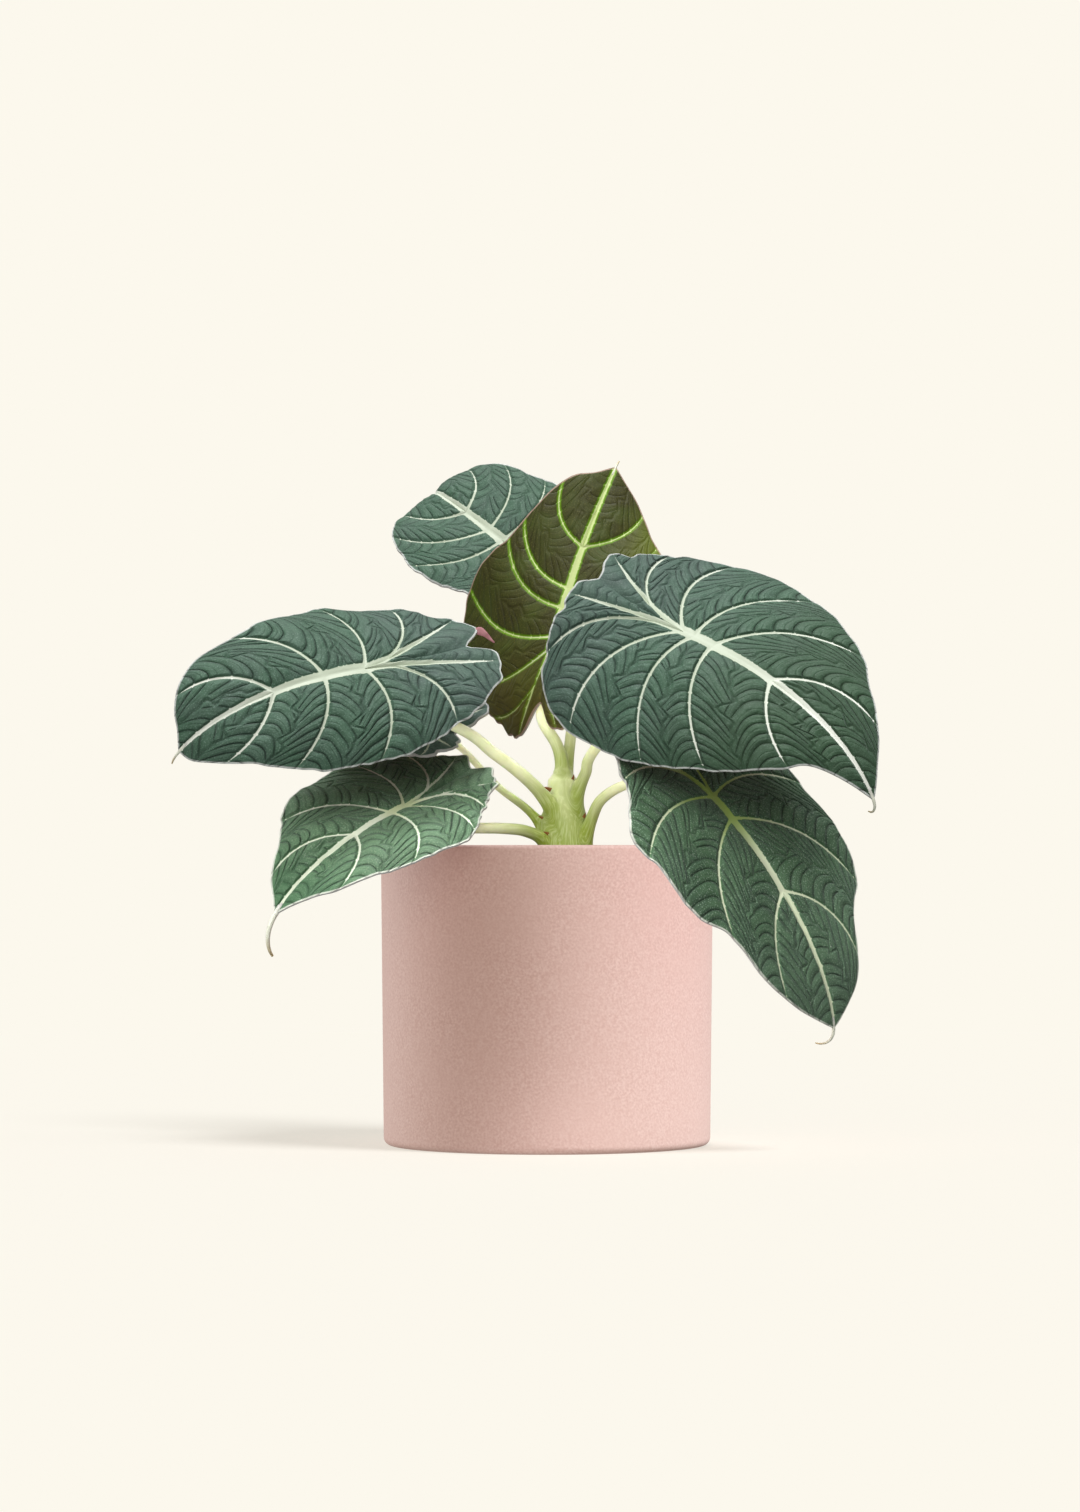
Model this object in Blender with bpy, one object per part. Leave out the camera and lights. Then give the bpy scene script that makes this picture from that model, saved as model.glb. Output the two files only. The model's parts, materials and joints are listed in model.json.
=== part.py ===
# Potted black velvet alocasia: a straight pot, its soil, the plant's crown, and seven leaves on stalks.
# Lengths in the tables are millimetres and angles are degrees; MM turns them into Blender's metres.
# The origin is the centre of the pot's underside, +Z is up and the front of the plant faces -Y.
import math

import bmesh
import bpy
import numpy as np

MM = 0.001
GAP = 0.3

POT = dict(rim_radius=65.0, foot_radius=63.8, height=117.0, wall=4.5, floor=5.0, lip=1.5, heel=3.0,
           segments=72)
# waves: the lengths across X and Y, the phase and the height of each wave in the soil's surface
SOIL = dict(below_rim=13.0, waves=((30, 40, 0.6, 0.6), (-34, 28, 2.0, 0.6), (57, -27, 0.0, 0.7)),
            rings=5, segments=72)
# axis: points on the crown's middle line; outline: heights and radii, foot to head
CROWN = dict(axis=((7.4, 0.0, 82.0), (7.4, 0.0, 117.0), (6.0, 1.0, 145.0)),
             outline=((82, 9.0), (103, 10.4), (117, 10.4), (126, 8.9), (136.6, 6.0), (142.5, 5.4),
                      (145, 3.0)),
             ribs=5, rib_height=0.35, rib_turn=0.9, segments=30)

# Where the margin's radii are given: degrees from the tip, round either side, short of the notch.
MARGIN_ANGLES = (4, 10, 20, 35, 50, 70, 90, 110, 130, 148, 162, 172)
THREAD_ANGLE = 0.6          # the drip tip's half width, as an angle seen from the stalk
BLADE = dict(thickness=0.9, along=5, across=4, puff=0.9, wave=0.9, waves=9, wave_end=1.15,
             rib_keel=0.9, vein_keel=0.3, bow=0.15, costa_bow=0.05, bend_length=100.0, curl_width=55.0)

# attach: where the stalk meets the blade. heading: 0 points to +X and 90 to +Y; dip: the tip's fall
# below level; roll: about the rib. arch and droop bend the rib down towards the tip, lift bends the
# rear lobes up, sweep bends the rib sideways, twist turns it, curl bends the left and right halves
# down and gutter folds them up. tip, left, right and notch are the margin's radii from the stalk.
# veins: station on the rib, and the angles where the left and right vein of the pair end.
# costa: the rear ribs' end angles, and the station and end angles of their outer branches.
LEAVES = {
    "left": dict(
        attach=(-70, -44, 184), heading=209, dip=8, roll=-44, arch=43, droop=47, lift=29, sweep=8,
        twist=-23, curl=(49, 34), gutter=5, tip=81, thread=6, hook=25, notch=44,
        left=(80, 74, 64, 55, 49, 43, 41, 41, 44, 51, 54, 53),
        right=(77, 74, 68, 53, 45, 40, 41, 43, 47, 48, 51, 52),
        veins=((38, 13, 14), (17, 36, 36), (0, 78, 89)), costa=(165, 157), branch=(12, 126, 127),
        stalk=((-6, -7, 140.5), (-18, -17, 149.5), (-34, -29, 162)), girth=(3.0, 1.8)),
    "right": dict(
        attach=(52, -46, 198), heading=-32, dip=22, roll=30, arch=25, droop=21, lift=52, sweep=-14,
        twist=7, curl=(14, 49), gutter=2, tip=104, thread=9, hook=110, notch=42,
        left=(95, 86, 75, 68, 62, 59, 59, 57, 50, 48, 49, 45),
        right=(94, 83, 78, 71, 65, 62, 61, 61, 54, 49, 47, 46),
        veins=((42, 12, 17), (14, 35, 43), (5, 67, 69), (0, 105, 100)),
        costa=(160, 154), branch=(20, 131, 128),
        stalk=((13, -6, 143), (20, -14, 156)), girth=(2.6, 1.6)),
    "low_left": dict(
        attach=(-55, -42, 131), heading=219, dip=21, roll=-18, arch=33, droop=55, lift=23, sweep=6,
        twist=-4, curl=(20, 4), gutter=8, tip=71, thread=18, hook=40, notch=36,
        left=(66, 61, 56, 48, 44, 41, 39, 34, 33, 37, 39, 40),
        right=(66, 61, 52, 47, 45, 40, 38, 37, 37, 38, 40, 40),
        veins=((25, 21, 11), (6, 53, 38), (0, 95, 100)), costa=(150, 164), branch=(14, 122, 132),
        stalk=((-3, -9, 121), (-14, -16, 123.5), (-27, -24, 123.5)), girth=(2.5, 1.9)),
    "low_right": dict(
        attach=(63, -48, 135), heading=-22, dip=46, roll=24, arch=33, droop=15, lift=-10, sweep=5,
        twist=13, curl=(9, 8), gutter=2, tip=102, thread=13, hook=85, notch=34,
        left=(97, 90, 73, 67, 58, 50, 48, 43, 42, 45, 46, 41),
        right=(97, 90, 78, 61, 58, 51, 50, 41, 41, 45, 46, 41),
        veins=((45, 14, 14), (11, 34, 33), (0, 78, 78)), costa=(156, 156), branch=(14, 122, 122),
        stalk=((19.5, -9, 127), (22, -12, 135), (31, -20, 140.5), (46, -32, 143)), girth=(2.7, 1.5)),
    "centre": dict(
        attach=(2, 18, 195), heading=58, dip=-63, roll=-5, arch=13, droop=4, lift=-47, sweep=3,
        twist=55, curl=(24, 30), gutter=1, tip=90, thread=4, hook=10, notch=24,
        left=(84, 80, 68, 57, 56, 53, 48, 44, 41, 40, 38, 29),
        right=(85, 79, 68, 61, 58, 55, 50, 46, 43, 41, 38, 30),
        veins=((47, 13, 14), (27, 26, 26), (18, 34, 34), (5, 59, 59), (0, 100, 100)),
        costa=(160, 160), branch=(17, 127, 127),
        stalk=((6, -1, 146), (4, 5, 156), (-2, 13.5, 167), (0, 20, 176), (5, 26, 187)), girth=(2.8, 2.0)),
    "back": dict(
        attach=(-18, 75, 241), heading=136, dip=-32, roll=-43, arch=22, droop=14, lift=-15, sweep=3,
        twist=-4, curl=(6, 36), gutter=6, fold=(41, 58, 95), tip=70, thread=3, hook=10, notch=26,
        left=(62, 57, 52, 49, 43, 38, 34, 32, 34, 34, 33, 29),
        right=(62, 57, 52, 48, 41, 39, 37, 35, 34, 34, 33, 29),
        veins=((25, 20, 20), (9, 38, 38), (0, 64, 64)), costa=(158, 158), branch=(13, 122, 122),
        stalk=((8, 6, 147), (9.5, 15, 161), (12, 36, 185), (5, 66, 212), (-10, 81, 229)), girth=(2.4, 1.7)),
    "hidden": dict(
        attach=(-55, -12, 162), heading=160, dip=-5, roll=-50, arch=30, droop=30, lift=0, sweep=0,
        twist=0, curl=(-60, 25), gutter=8, tip=50, thread=4, hook=30, notch=21,
        left=(45, 41, 36, 31, 28, 25, 23, 22, 23, 25, 26, 24),
        right=(45, 41, 37, 32, 30, 28, 26, 26, 28, 32, 33, 27),
        veins=((21, 14, 14), (8, 36, 36), (0, 80, 80)), costa=(156, 156), branch=(10, 124, 124),
        stalk=((-7, -2, 129), (-20, 0, 140.5), (-35, 1, 156), (-46, 0, 159)), girth=(1.8, 1.2)),
}
STALK = dict(sides=10, rings=14, sink=8.0, neck=7.0)

# sRGB colour, roughness
FINISHES = dict(
    pot=("pink_matte_ceramic", (0.906, 0.765, 0.725), 0.75),
    soil=("potting_soil", (0.16, 0.11, 0.08), 0.95),
    crown=("green_crown", (0.64, 0.71, 0.40), 0.5),
    stalk=("green_stalk", (0.76, 0.82, 0.60), 0.5),
    blade=("velvet_leaf", (0.20, 0.31, 0.26), 0.7),
    young=("young_leaf", (0.27, 0.26, 0.13), 0.6),
)


def clear_scene():
    for ob in list(bpy.data.objects):
        bpy.data.objects.remove(ob, do_unlink=True)


def linear(channel):
    return channel / 12.92 if channel <= 0.04045 else ((channel + 0.055) / 1.055) ** 2.4


def material(key):
    name, colour, roughness = FINISHES[key]
    mat = bpy.data.materials.get(name)
    if mat is None:
        mat = bpy.data.materials.new(name)
        mat.use_nodes = True
        shader = mat.node_tree.nodes["Principled BSDF"]
        shader.inputs["Base Color"].default_value = [linear(c) for c in colour] + [1.0]
        shader.inputs["Roughness"].default_value = roughness
        shader.inputs["Metallic"].default_value = 0.0
    return mat


def add_object(name, points, faces, finish, crease=40.0):
    """Makes one object from points in millimetres and faces of point indices."""
    mesh = bpy.data.meshes.new(name)
    mesh.from_pydata([tuple(float(c) * MM for c in p) for p in points], [], faces)
    mesh.validate()
    mesh.shade_smooth()
    mesh.set_sharp_from_angle(angle=math.radians(crease))
    ob = bpy.data.objects.new(name, mesh)
    bpy.context.collection.objects.link(ob)
    mesh.materials.append(material(finish))
    return ob


# Turned and lofted bodies

def loft(rings, closed_profile=False):
    """Points and faces of a body through equal rings; the ends are capped unless the profile closes."""
    n = len(rings[0])
    points = [p for ring in rings for p in ring]
    faces = []
    last = len(rings) if closed_profile else len(rings) - 1
    for k in range(last):
        a, b = k * n, ((k + 1) % len(rings)) * n
        for i in range(n):
            j = (i + 1) % n
            faces.append((a + i, a + j, b + j, b + i))
    if not closed_profile:
        faces.append(tuple(reversed(range(n))))
        faces.append(tuple(range((len(rings) - 1) * n, len(rings) * n)))
    return points, faces


def circle(centre, radius, segments, u=(1, 0, 0), v=(0, 1, 0)):
    turn = 2 * math.pi / segments
    centre, u, v = np.array(centre, float), np.array(u, float), np.array(v, float)
    return [centre + radius * (math.cos(turn * i) * u + math.sin(turn * i) * v) for i in range(segments)]


def quarter(radius, start, steps=3):
    """Offsets round a rounded corner, from a start angle through 90 degrees."""
    angles = [math.radians(start + 90 * k / steps) for k in range(steps + 1)]
    return [(radius * math.cos(a), radius * math.sin(a)) for a in angles]


def wall_radius(z):
    """The pot's outer radius at a height: it widens evenly from foot to rim."""
    return POT["foot_radius"] + (POT["rim_radius"] - POT["foot_radius"]) * z / POT["height"]


def make_pot():
    heel, lip, top, floor = POT["heel"], POT["lip"], POT["height"], POT["floor"]
    profile = []
    profile += [(POT["foot_radius"] - heel + r, heel + z) for r, z in quarter(heel, -90)]
    profile += [(POT["rim_radius"] - lip + r, top - lip + z) for r, z in quarter(lip, 0)]
    inner_rim = POT["rim_radius"] - POT["wall"]
    inner_foot = POT["foot_radius"] - POT["wall"]
    profile += [(inner_rim + lip + r, top - lip + z) for r, z in quarter(lip, 90)]
    profile += [(inner_foot - heel + r, floor + heel + z) for r, z in reversed(quarter(heel, -90))]
    rings = [circle((0, 0, z), r, POT["segments"]) for r, z in profile]
    points, faces = loft(rings)
    add_object("pot", points, faces, "pot", crease=50.0)


def crown_axis(z):
    heights = [p[2] for p in CROWN["axis"]]
    return np.array([np.interp(z, heights, [p[c] for p in CROWN["axis"]]) for c in (0, 1)] + [z])


def crown_rings(extra=0.0):
    """The crown's outline from foot to head, grown by extra on every side."""
    rings = []
    last = len(CROWN["outline"]) - 1
    for k, (height, radius) in enumerate(CROWN["outline"]):
        centre = crown_axis(height) + (0, 0, extra * ((k == last) - (k == 0)))
        ring = []
        for p in circle((0, 0, 0), 1.0, CROWN["segments"]):
            turn = math.atan2(p[1], p[0])
            swell = CROWN["rib_height"] * math.cos(CROWN["ribs"] * turn + CROWN["rib_turn"] * k)
            ring.append(centre + p * (radius + extra + swell))
        rings.append(ring)
    return rings


def make_crown():
    points, faces = loft(crown_rings())
    add_object("crown", points, faces, "crown", crease=60.0)


def soil_height(x, y):
    """A gently uneven surface that is level at the wall."""
    bumps = sum(height * math.sin(2 * math.pi * (x / across + y / deep) + phase)
                for across, deep, phase, height in SOIL["waves"])
    reach = math.hypot(x, y) / POT["rim_radius"]
    return POT["height"] - SOIL["below_rim"] + bumps * max(0.0, 1 - reach ** 6)


def make_soil():
    n = SOIL["segments"]
    level = POT["height"] - SOIL["below_rim"]
    outer = wall_radius(level) - POT["wall"] - GAP
    bottom = POT["floor"] + GAP
    heel = POT["heel"]
    foot = POT["foot_radius"] - POT["wall"] - GAP
    hole_foot = CROWN["outline"][0][0] - GAP
    hole_radius = max(radius for _, radius in CROWN["outline"]) + CROWN["rib_height"] + GAP
    centre = crown_axis(0.0)
    rings = [circle((0, 0, bottom), foot - heel, n), circle((0, 0, bottom + heel), foot, n)]
    for k in range(SOIL["rings"] + 1):
        f = k / SOIL["rings"]
        ring = []
        for edge, inner in zip(circle((0, 0, 0), outer, n), circle(centre, hole_radius, n)):
            p = edge * (1 - f) + inner * f
            ring.append(np.array((p[0], p[1], soil_height(p[0], p[1]))))
        rings.append(ring)
    rings.append(circle(centre + (0, 0, hole_foot), hole_radius, n))
    points, faces = loft(rings)
    add_object("soil", points, faces, "soil")


# Blades

def margin_radius(leaf, side, angle):
    """The margin's distance from the stalk at an angle from the tip; the drip tip is a narrow spike."""
    radii = np.array([leaf["tip"], *leaf[side], leaf["notch"]], float)
    knots = np.array([0.0, *MARGIN_ANGLES, 180.0])
    slopes = np.gradient(radii, knots)
    slopes[-1] = 0.0
    k = int(np.clip(np.searchsorted(knots, angle) - 1, 0, len(knots) - 2))
    step = knots[k + 1] - knots[k]
    f = (angle - knots[k]) / step
    smooth = ((1 + 2 * f) * (1 - f) ** 2 * radii[k] + f * (1 - f) ** 2 * step * slopes[k]
              + f * f * (3 - 2 * f) * radii[k + 1] + f * f * (f - 1) * step * slopes[k + 1])
    return smooth + leaf["thread"] * max(0.0, 1 - angle / THREAD_ANGLE)


def margin_point(leaf, side, angle):
    hand = 1 if side == "left" else -1
    turn = math.radians(angle)
    r = margin_radius(leaf, side, angle)
    return np.array((r * math.cos(turn), hand * r * math.sin(turn)))


def bowed(start, end, bow, steps):
    """A vein: a line that bows to one side, as a share of its length."""
    start, end = np.array(start, float), np.array(end, float)
    chord = end - start
    aside = np.array((-chord[1], chord[0])) * bow
    f = np.linspace(0, 1, steps + 1)[:, None]
    return start + chord * f + aside * 4 * f * (1 - f)


def fields(leaf, side):
    """The fields between neighbouring veins, tip to notch: each has two veins, a base and a margin."""
    along, across = BLADE["along"], BLADE["across"]
    hand = 1 if side == "left" else -1
    pick = 0 if side == "left" else 1
    steps = np.linspace(0, 1, across + 1)

    def edge(a, b):
        turns = a + (b - a) * (steps ** 1.5 if a == 0 else steps)
        if a == 0:
            turns[1] = THREAD_ANGLE
        return np.array([margin_point(leaf, side, t) for t in turns])

    def straight(a, b, count):
        return np.linspace(a, b, count + 1)

    stations = [v[0] for v in leaf["veins"]]
    ends = [v[1 + pick] for v in leaf["veins"]]
    laterals = [bowed((s, 0), margin_point(leaf, side, e), hand * BLADE["bow"], along)
                for s, e in zip(stations, ends)]
    found = []
    rib_end = straight((stations[0], 0), margin_point(leaf, side, 0.0), along)
    found.append((rib_end, laterals[0], straight(laterals[0][0], laterals[0][0], across), edge(0, ends[0])))
    for k in range(1, len(laterals)):
        base = straight(laterals[k - 1][0], laterals[k][0], across)
        found.append((laterals[k - 1], laterals[k], base, edge(ends[k - 1], ends[k])))

    costa_end = leaf["costa"][pick]
    fork, branch_end = leaf["branch"][0], leaf["branch"][1 + pick]
    length = margin_radius(leaf, side, costa_end)
    fine = 60
    costa = bowed((0, 0), margin_point(leaf, side, costa_end), hand * BLADE["costa_bow"], fine)
    cut = int(round(fine * fork / length))
    inner = costa[np.linspace(0, cut, across + 1).round().astype(int)]
    outer = costa[np.linspace(cut, fine, along + 1).round().astype(int)]
    branch = bowed(inner[-1], margin_point(leaf, side, branch_end), hand * BLADE["bow"], along)
    found.append((laterals[-1], branch, inner, edge(ends[-1], branch_end)))
    found.append((branch, outer, straight(branch[0], branch[0], across), edge(branch_end, costa_end)))
    whole = np.concatenate([inner, outer[1:]])
    notch = straight((0, 0), margin_point(leaf, side, 180.0), along + across)
    found.append((whole, notch, straight((0, 0), (0, 0), across), edge(costa_end, 180)))
    return found


def frame_of(leaf):
    """Directions at the stalk: along the rib to the tip, to the leaf's left, and up out of the blade."""
    h, p, r = (math.radians(leaf[k]) for k in ("heading", "dip", "roll"))
    tip = np.array((math.cos(h) * math.cos(p), math.sin(h) * math.cos(p), -math.sin(p)))
    level = np.array((-math.sin(h), math.cos(h), 0.0))
    left = math.cos(r) * level + math.sin(r) * np.cross(tip, level)
    return tip, left, np.cross(tip, left)


def bent_sheet(leaf, flat, steps=40):
    """Points of the bent blade, and its upward normals, for flat (along, across) points."""
    tip, left, up = frame_of(leaf)
    rad = math.radians
    f = np.linspace(0, 1, steps + 1)
    s, w = flat[:, 0], flat[:, 1]
    way = s[:, None] * f
    x = way / BLADE["bend_length"]
    fall = np.where(x > 0, rad(leaf["arch"]) * x + rad(leaf["droop"]) * x ** 4, -rad(leaf["lift"]) * x)
    fall = fall + rad(leaf["hook"]) * np.clip((way - leaf["tip"]) / leaf["thread"], 0, 1)
    begin, end, turned = leaf.get("fold", (0, 1, 0))
    folded = np.clip((way - begin) / (end - begin), 0, 1)
    fall = fall + rad(turned) * folded * folded * (3 - 2 * folded)
    side = rad(leaf["sweep"]) * x * np.abs(x)

    def summed(a, length):
        return (a.sum(1) - 0.5 * (a[:, 0] + a[:, -1])) * length / steps

    rib = (summed(np.cos(fall) * np.cos(side), s)[:, None] * tip
           + summed(np.cos(fall) * np.sin(side), s)[:, None] * left
           - summed(np.sin(fall), s)[:, None] * up)
    fe, se = fall[:, -1:], side[:, -1:]
    ahead = np.cos(fe) * np.cos(se) * tip + np.cos(fe) * np.sin(se) * left - np.sin(fe) * up
    aside = -np.sin(se) * tip + np.cos(se) * left
    above = np.cross(ahead, aside)
    turn = rad(leaf["twist"]) * s[:, None] / BLADE["bend_length"]
    aside, above = np.cos(turn) * aside + np.sin(turn) * above, -np.sin(turn) * aside + np.cos(turn) * above
    reach = np.abs(w)
    bend = np.where(w > 0, rad(leaf["curl"][0]), rad(leaf["curl"][1]))[:, None]
    tilt = -rad(leaf["gutter"]) + bend * reach[:, None] * f / BLADE["curl_width"]
    out = np.sign(w)[:, None] * summed(np.cos(tilt), reach)[:, None] * aside
    down = -summed(np.sin(tilt), reach)[:, None] * above
    te = tilt[:, -1:]
    normal = np.cos(te) * above + np.sign(w)[:, None] * np.sin(te) * aside
    return np.array(leaf["attach"], float) + rib + out + down, normal


def flat_mesh(leaf):
    """Flat points, upward-facing triangles, puff between the veins and keel under them."""
    index, points, puff, keel, faces = {}, [], [], [], []

    def corner(p, bulge, ridge):
        key = (round(float(p[0]), 2), round(float(p[1]), 2))
        if key not in index:
            index[key] = len(points)
            points.append(p)
            puff.append(bulge)
            keel.append(ridge)
        k = index[key]
        keel[k] = max(keel[k], ridge)
        return k

    for side in ("left", "right"):
        for a, b, base, rim in fields(leaf, side):
            rows, cols = len(a), len(base)
            grid = []
            for i in range(rows):
                t = i / (rows - 1)
                row = []
                for j in range(cols):
                    u = j / (cols - 1)
                    p = ((1 - u) * a[i] + u * b[i] + (1 - t) * base[j] + t * rim[j]
                         - (1 - u) * ((1 - t) * a[0] + t * a[-1]) - u * ((1 - t) * b[0] + t * b[-1]))
                    on_rib = abs(p[1]) < 1e-6 and p[0] > -1e-6
                    bulge = 4 * u * (1 - u) * math.sin(math.pi * min(t, 0.999)) ** 0.5
                    ridge = 0.0
                    if j in (0, cols - 1):
                        ridge = BLADE["vein_keel"] * (1 - t)
                    if on_rib:
                        ridge = BLADE["rib_keel"] * max(0.0, 1 - p[0] / leaf["tip"])
                    row.append(corner(p, bulge, ridge))
                grid.append(row)
            for i in range(rows - 1):
                for j in range(cols - 1):
                    loop = [grid[i][j], grid[i + 1][j], grid[i + 1][j + 1], grid[i][j + 1]]
                    faces += halves(loop if side == "left" else loop[::-1], points)
    return np.array(points), faces, np.array(puff), np.array(keel)


def doubled_area(tri, points):
    a, b, c = (points[v] for v in tri)
    return (b[0] - a[0]) * (c[1] - a[1]) - (b[1] - a[1]) * (c[0] - a[0])


def halves(loop, points):
    """Splits a flat four-sided cell along the diagonal that leaves the fuller triangles."""
    corners = [v for k, v in enumerate(loop) if v != loop[k - 1]]
    if len(corners) < 3:
        return []
    if len(corners) == 3:
        return [tuple(corners)]
    a, b, c, d = corners
    choices = (((a, b, c), (a, c, d)), ((a, b, d), (b, c, d)))
    return list(max(choices, key=lambda pair: min(doubled_area(t, points) for t in pair)))


def margin_wave(leaf, flat):
    """Waves that grow towards the margin and die away at the tip; the heading sets their phase."""
    turn = np.arctan2(flat[:, 1], flat[:, 0])
    reach = np.hypot(flat[:, 0], flat[:, 1]) / leaf["tip"]
    height = BLADE["wave"] * np.minimum(1, 2 * reach) ** 3 * np.clip(BLADE["wave_end"] - reach, 0, 1)
    return height * np.sin(BLADE["waves"] * turn + math.radians(leaf["heading"]))


def make_blade(name, leaf):
    flat, faces, puff, keel = flat_mesh(leaf)
    middle, normal = bent_sheet(leaf, flat)
    relief = BLADE["puff"] * puff + margin_wave(leaf, flat)
    half = BLADE["thickness"] / 2
    top = middle + normal * (relief + half)[:, None]
    bottom = middle + normal * (relief - half - keel)[:, None]
    n = len(flat)
    points = list(top) + list(bottom)
    solid = list(faces) + [(c + n, b + n, a + n) for a, b, c in faces]
    edges = {(a, b) for tri in faces for a, b in zip(tri, tri[1:] + tri[:1])}
    for a, b in edges:
        if (b, a) not in edges:
            solid += [(b, a, a + n), (b, a + n, b + n)]
    finish = "young" if name == "centre" else "blade"
    add_object(f"blade_{name}", points, solid, finish, crease=60.0)


# Stalks

def smooth_path(knots, steps):
    """Points along a Catmull-Rom curve through the knots, evenly spaced."""
    knots = [np.array(k, float) for k in knots]
    ends = [2 * knots[0] - knots[1]] + knots + [2 * knots[-1] - knots[-2]]
    fine = []
    for k in range(1, len(ends) - 2):
        p0, p1, p2, p3 = ends[k - 1:k + 3]
        for f in np.linspace(0, 1, 20, endpoint=False):
            fine.append(0.5 * (2 * p1 + (p2 - p0) * f + (2 * p0 - 5 * p1 + 4 * p2 - p3) * f * f
                               + (3 * p1 - p0 - 3 * p2 + p3) * f ** 3))
    fine.append(knots[-1])
    fine = np.array(fine)
    run = np.concatenate([[0], np.cumsum(np.linalg.norm(np.diff(fine, axis=0), axis=1))])
    want = np.linspace(0, run[-1], steps + 1)
    return np.stack([np.interp(want, run, fine[:, c]) for c in range(3)], 1)


def stalk_start(leaf):
    """A point on the crown's axis, a little below where the stalk leaves the crown."""
    return crown_axis(min(leaf["stalk"][0][2], CROWN["outline"][-1][0]) - STALK["sink"])


def make_stalk(name, leaf, crown_cutter):
    up = frame_of(leaf)[2]
    below = BLADE["thickness"] / 2 + BLADE["rib_keel"] + GAP
    end = np.array(leaf["attach"], float) - up * below
    neck = end - up * STALK["neck"]
    path = smooth_path([stalk_start(leaf), *leaf["stalk"], neck, end], STALK["rings"])
    base_girth, end_girth = leaf["girth"]
    rings = []
    across = None
    for k, p in enumerate(path):
        ahead = path[min(k + 1, len(path) - 1)] - path[max(k - 1, 0)]
        if k == len(path) - 1:
            ahead = up
        ahead = ahead / np.linalg.norm(ahead)
        guide = np.array((0.0, 1.0, 0.0)) if across is None else across
        across = guide - ahead * guide.dot(ahead)
        across = across / np.linalg.norm(across)
        f = k / STALK["rings"]
        radius = end_girth + (base_girth - end_girth) * (1 - f) ** 1.5
        rings.append(circle(p, radius, STALK["sides"], across, np.cross(ahead, across)))
    points, faces = loft(rings)
    ob = add_object(f"stalk_{name}", points, faces, "stalk", crease=60.0)
    cut = ob.modifiers.new("seat", "BOOLEAN")
    cut.operation = "DIFFERENCE"
    cut.solver = "EXACT"
    cut.object = crown_cutter


def make_cutter():
    points, faces = loft(crown_rings(GAP))
    ob = add_object("crown_clearance", points, faces, "crown")
    ob.hide_render = True
    ob.display_type = "WIRE"
    return ob


def main():
    clear_scene()
    make_pot()
    make_soil()
    make_crown()
    cutter = make_cutter()
    for name, leaf in LEAVES.items():
        make_stalk(name, leaf, cutter)
        make_blade(name, leaf)


main()
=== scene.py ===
# Potted black velvet alocasia: the finish of every surface, and the fine shapes that stand for the solids.
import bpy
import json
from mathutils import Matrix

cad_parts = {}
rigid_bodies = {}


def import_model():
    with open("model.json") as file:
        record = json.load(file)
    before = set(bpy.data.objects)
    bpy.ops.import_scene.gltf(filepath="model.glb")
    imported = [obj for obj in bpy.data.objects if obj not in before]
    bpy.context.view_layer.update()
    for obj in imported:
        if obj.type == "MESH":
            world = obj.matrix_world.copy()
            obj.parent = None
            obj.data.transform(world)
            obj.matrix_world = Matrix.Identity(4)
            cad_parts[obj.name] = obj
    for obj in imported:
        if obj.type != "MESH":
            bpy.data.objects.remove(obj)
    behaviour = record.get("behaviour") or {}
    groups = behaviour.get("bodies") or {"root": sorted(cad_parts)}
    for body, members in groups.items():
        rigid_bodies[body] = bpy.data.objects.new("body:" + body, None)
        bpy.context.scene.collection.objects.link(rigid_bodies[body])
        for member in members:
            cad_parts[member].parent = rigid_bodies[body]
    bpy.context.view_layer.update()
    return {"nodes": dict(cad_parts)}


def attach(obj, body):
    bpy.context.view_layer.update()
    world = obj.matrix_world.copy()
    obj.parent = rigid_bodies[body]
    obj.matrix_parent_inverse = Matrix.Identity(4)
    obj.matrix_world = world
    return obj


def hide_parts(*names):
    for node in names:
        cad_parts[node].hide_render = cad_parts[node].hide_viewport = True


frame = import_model()

import json
import math
import random
from functools import partial

import bmesh
import bpy
import numpy as np
from mathutils import Vector, noise

mm = 0.001               # shapes are worked out in millimetres and turned to metres as a mesh is made
print("frame loaded:", len(frame["nodes"]), "nodes")


# Small tools

def srgb(hexText):       # an sRGB hex colour as linear RGBA
    parts = [int(hexText[k:k + 2], 16) / 255 for k in (1, 3, 5)]
    return [v / 12.92 if v <= 0.04045 else ((v + 0.055) / 1.055) ** 2.4 for v in parts] + [1.0]


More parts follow.
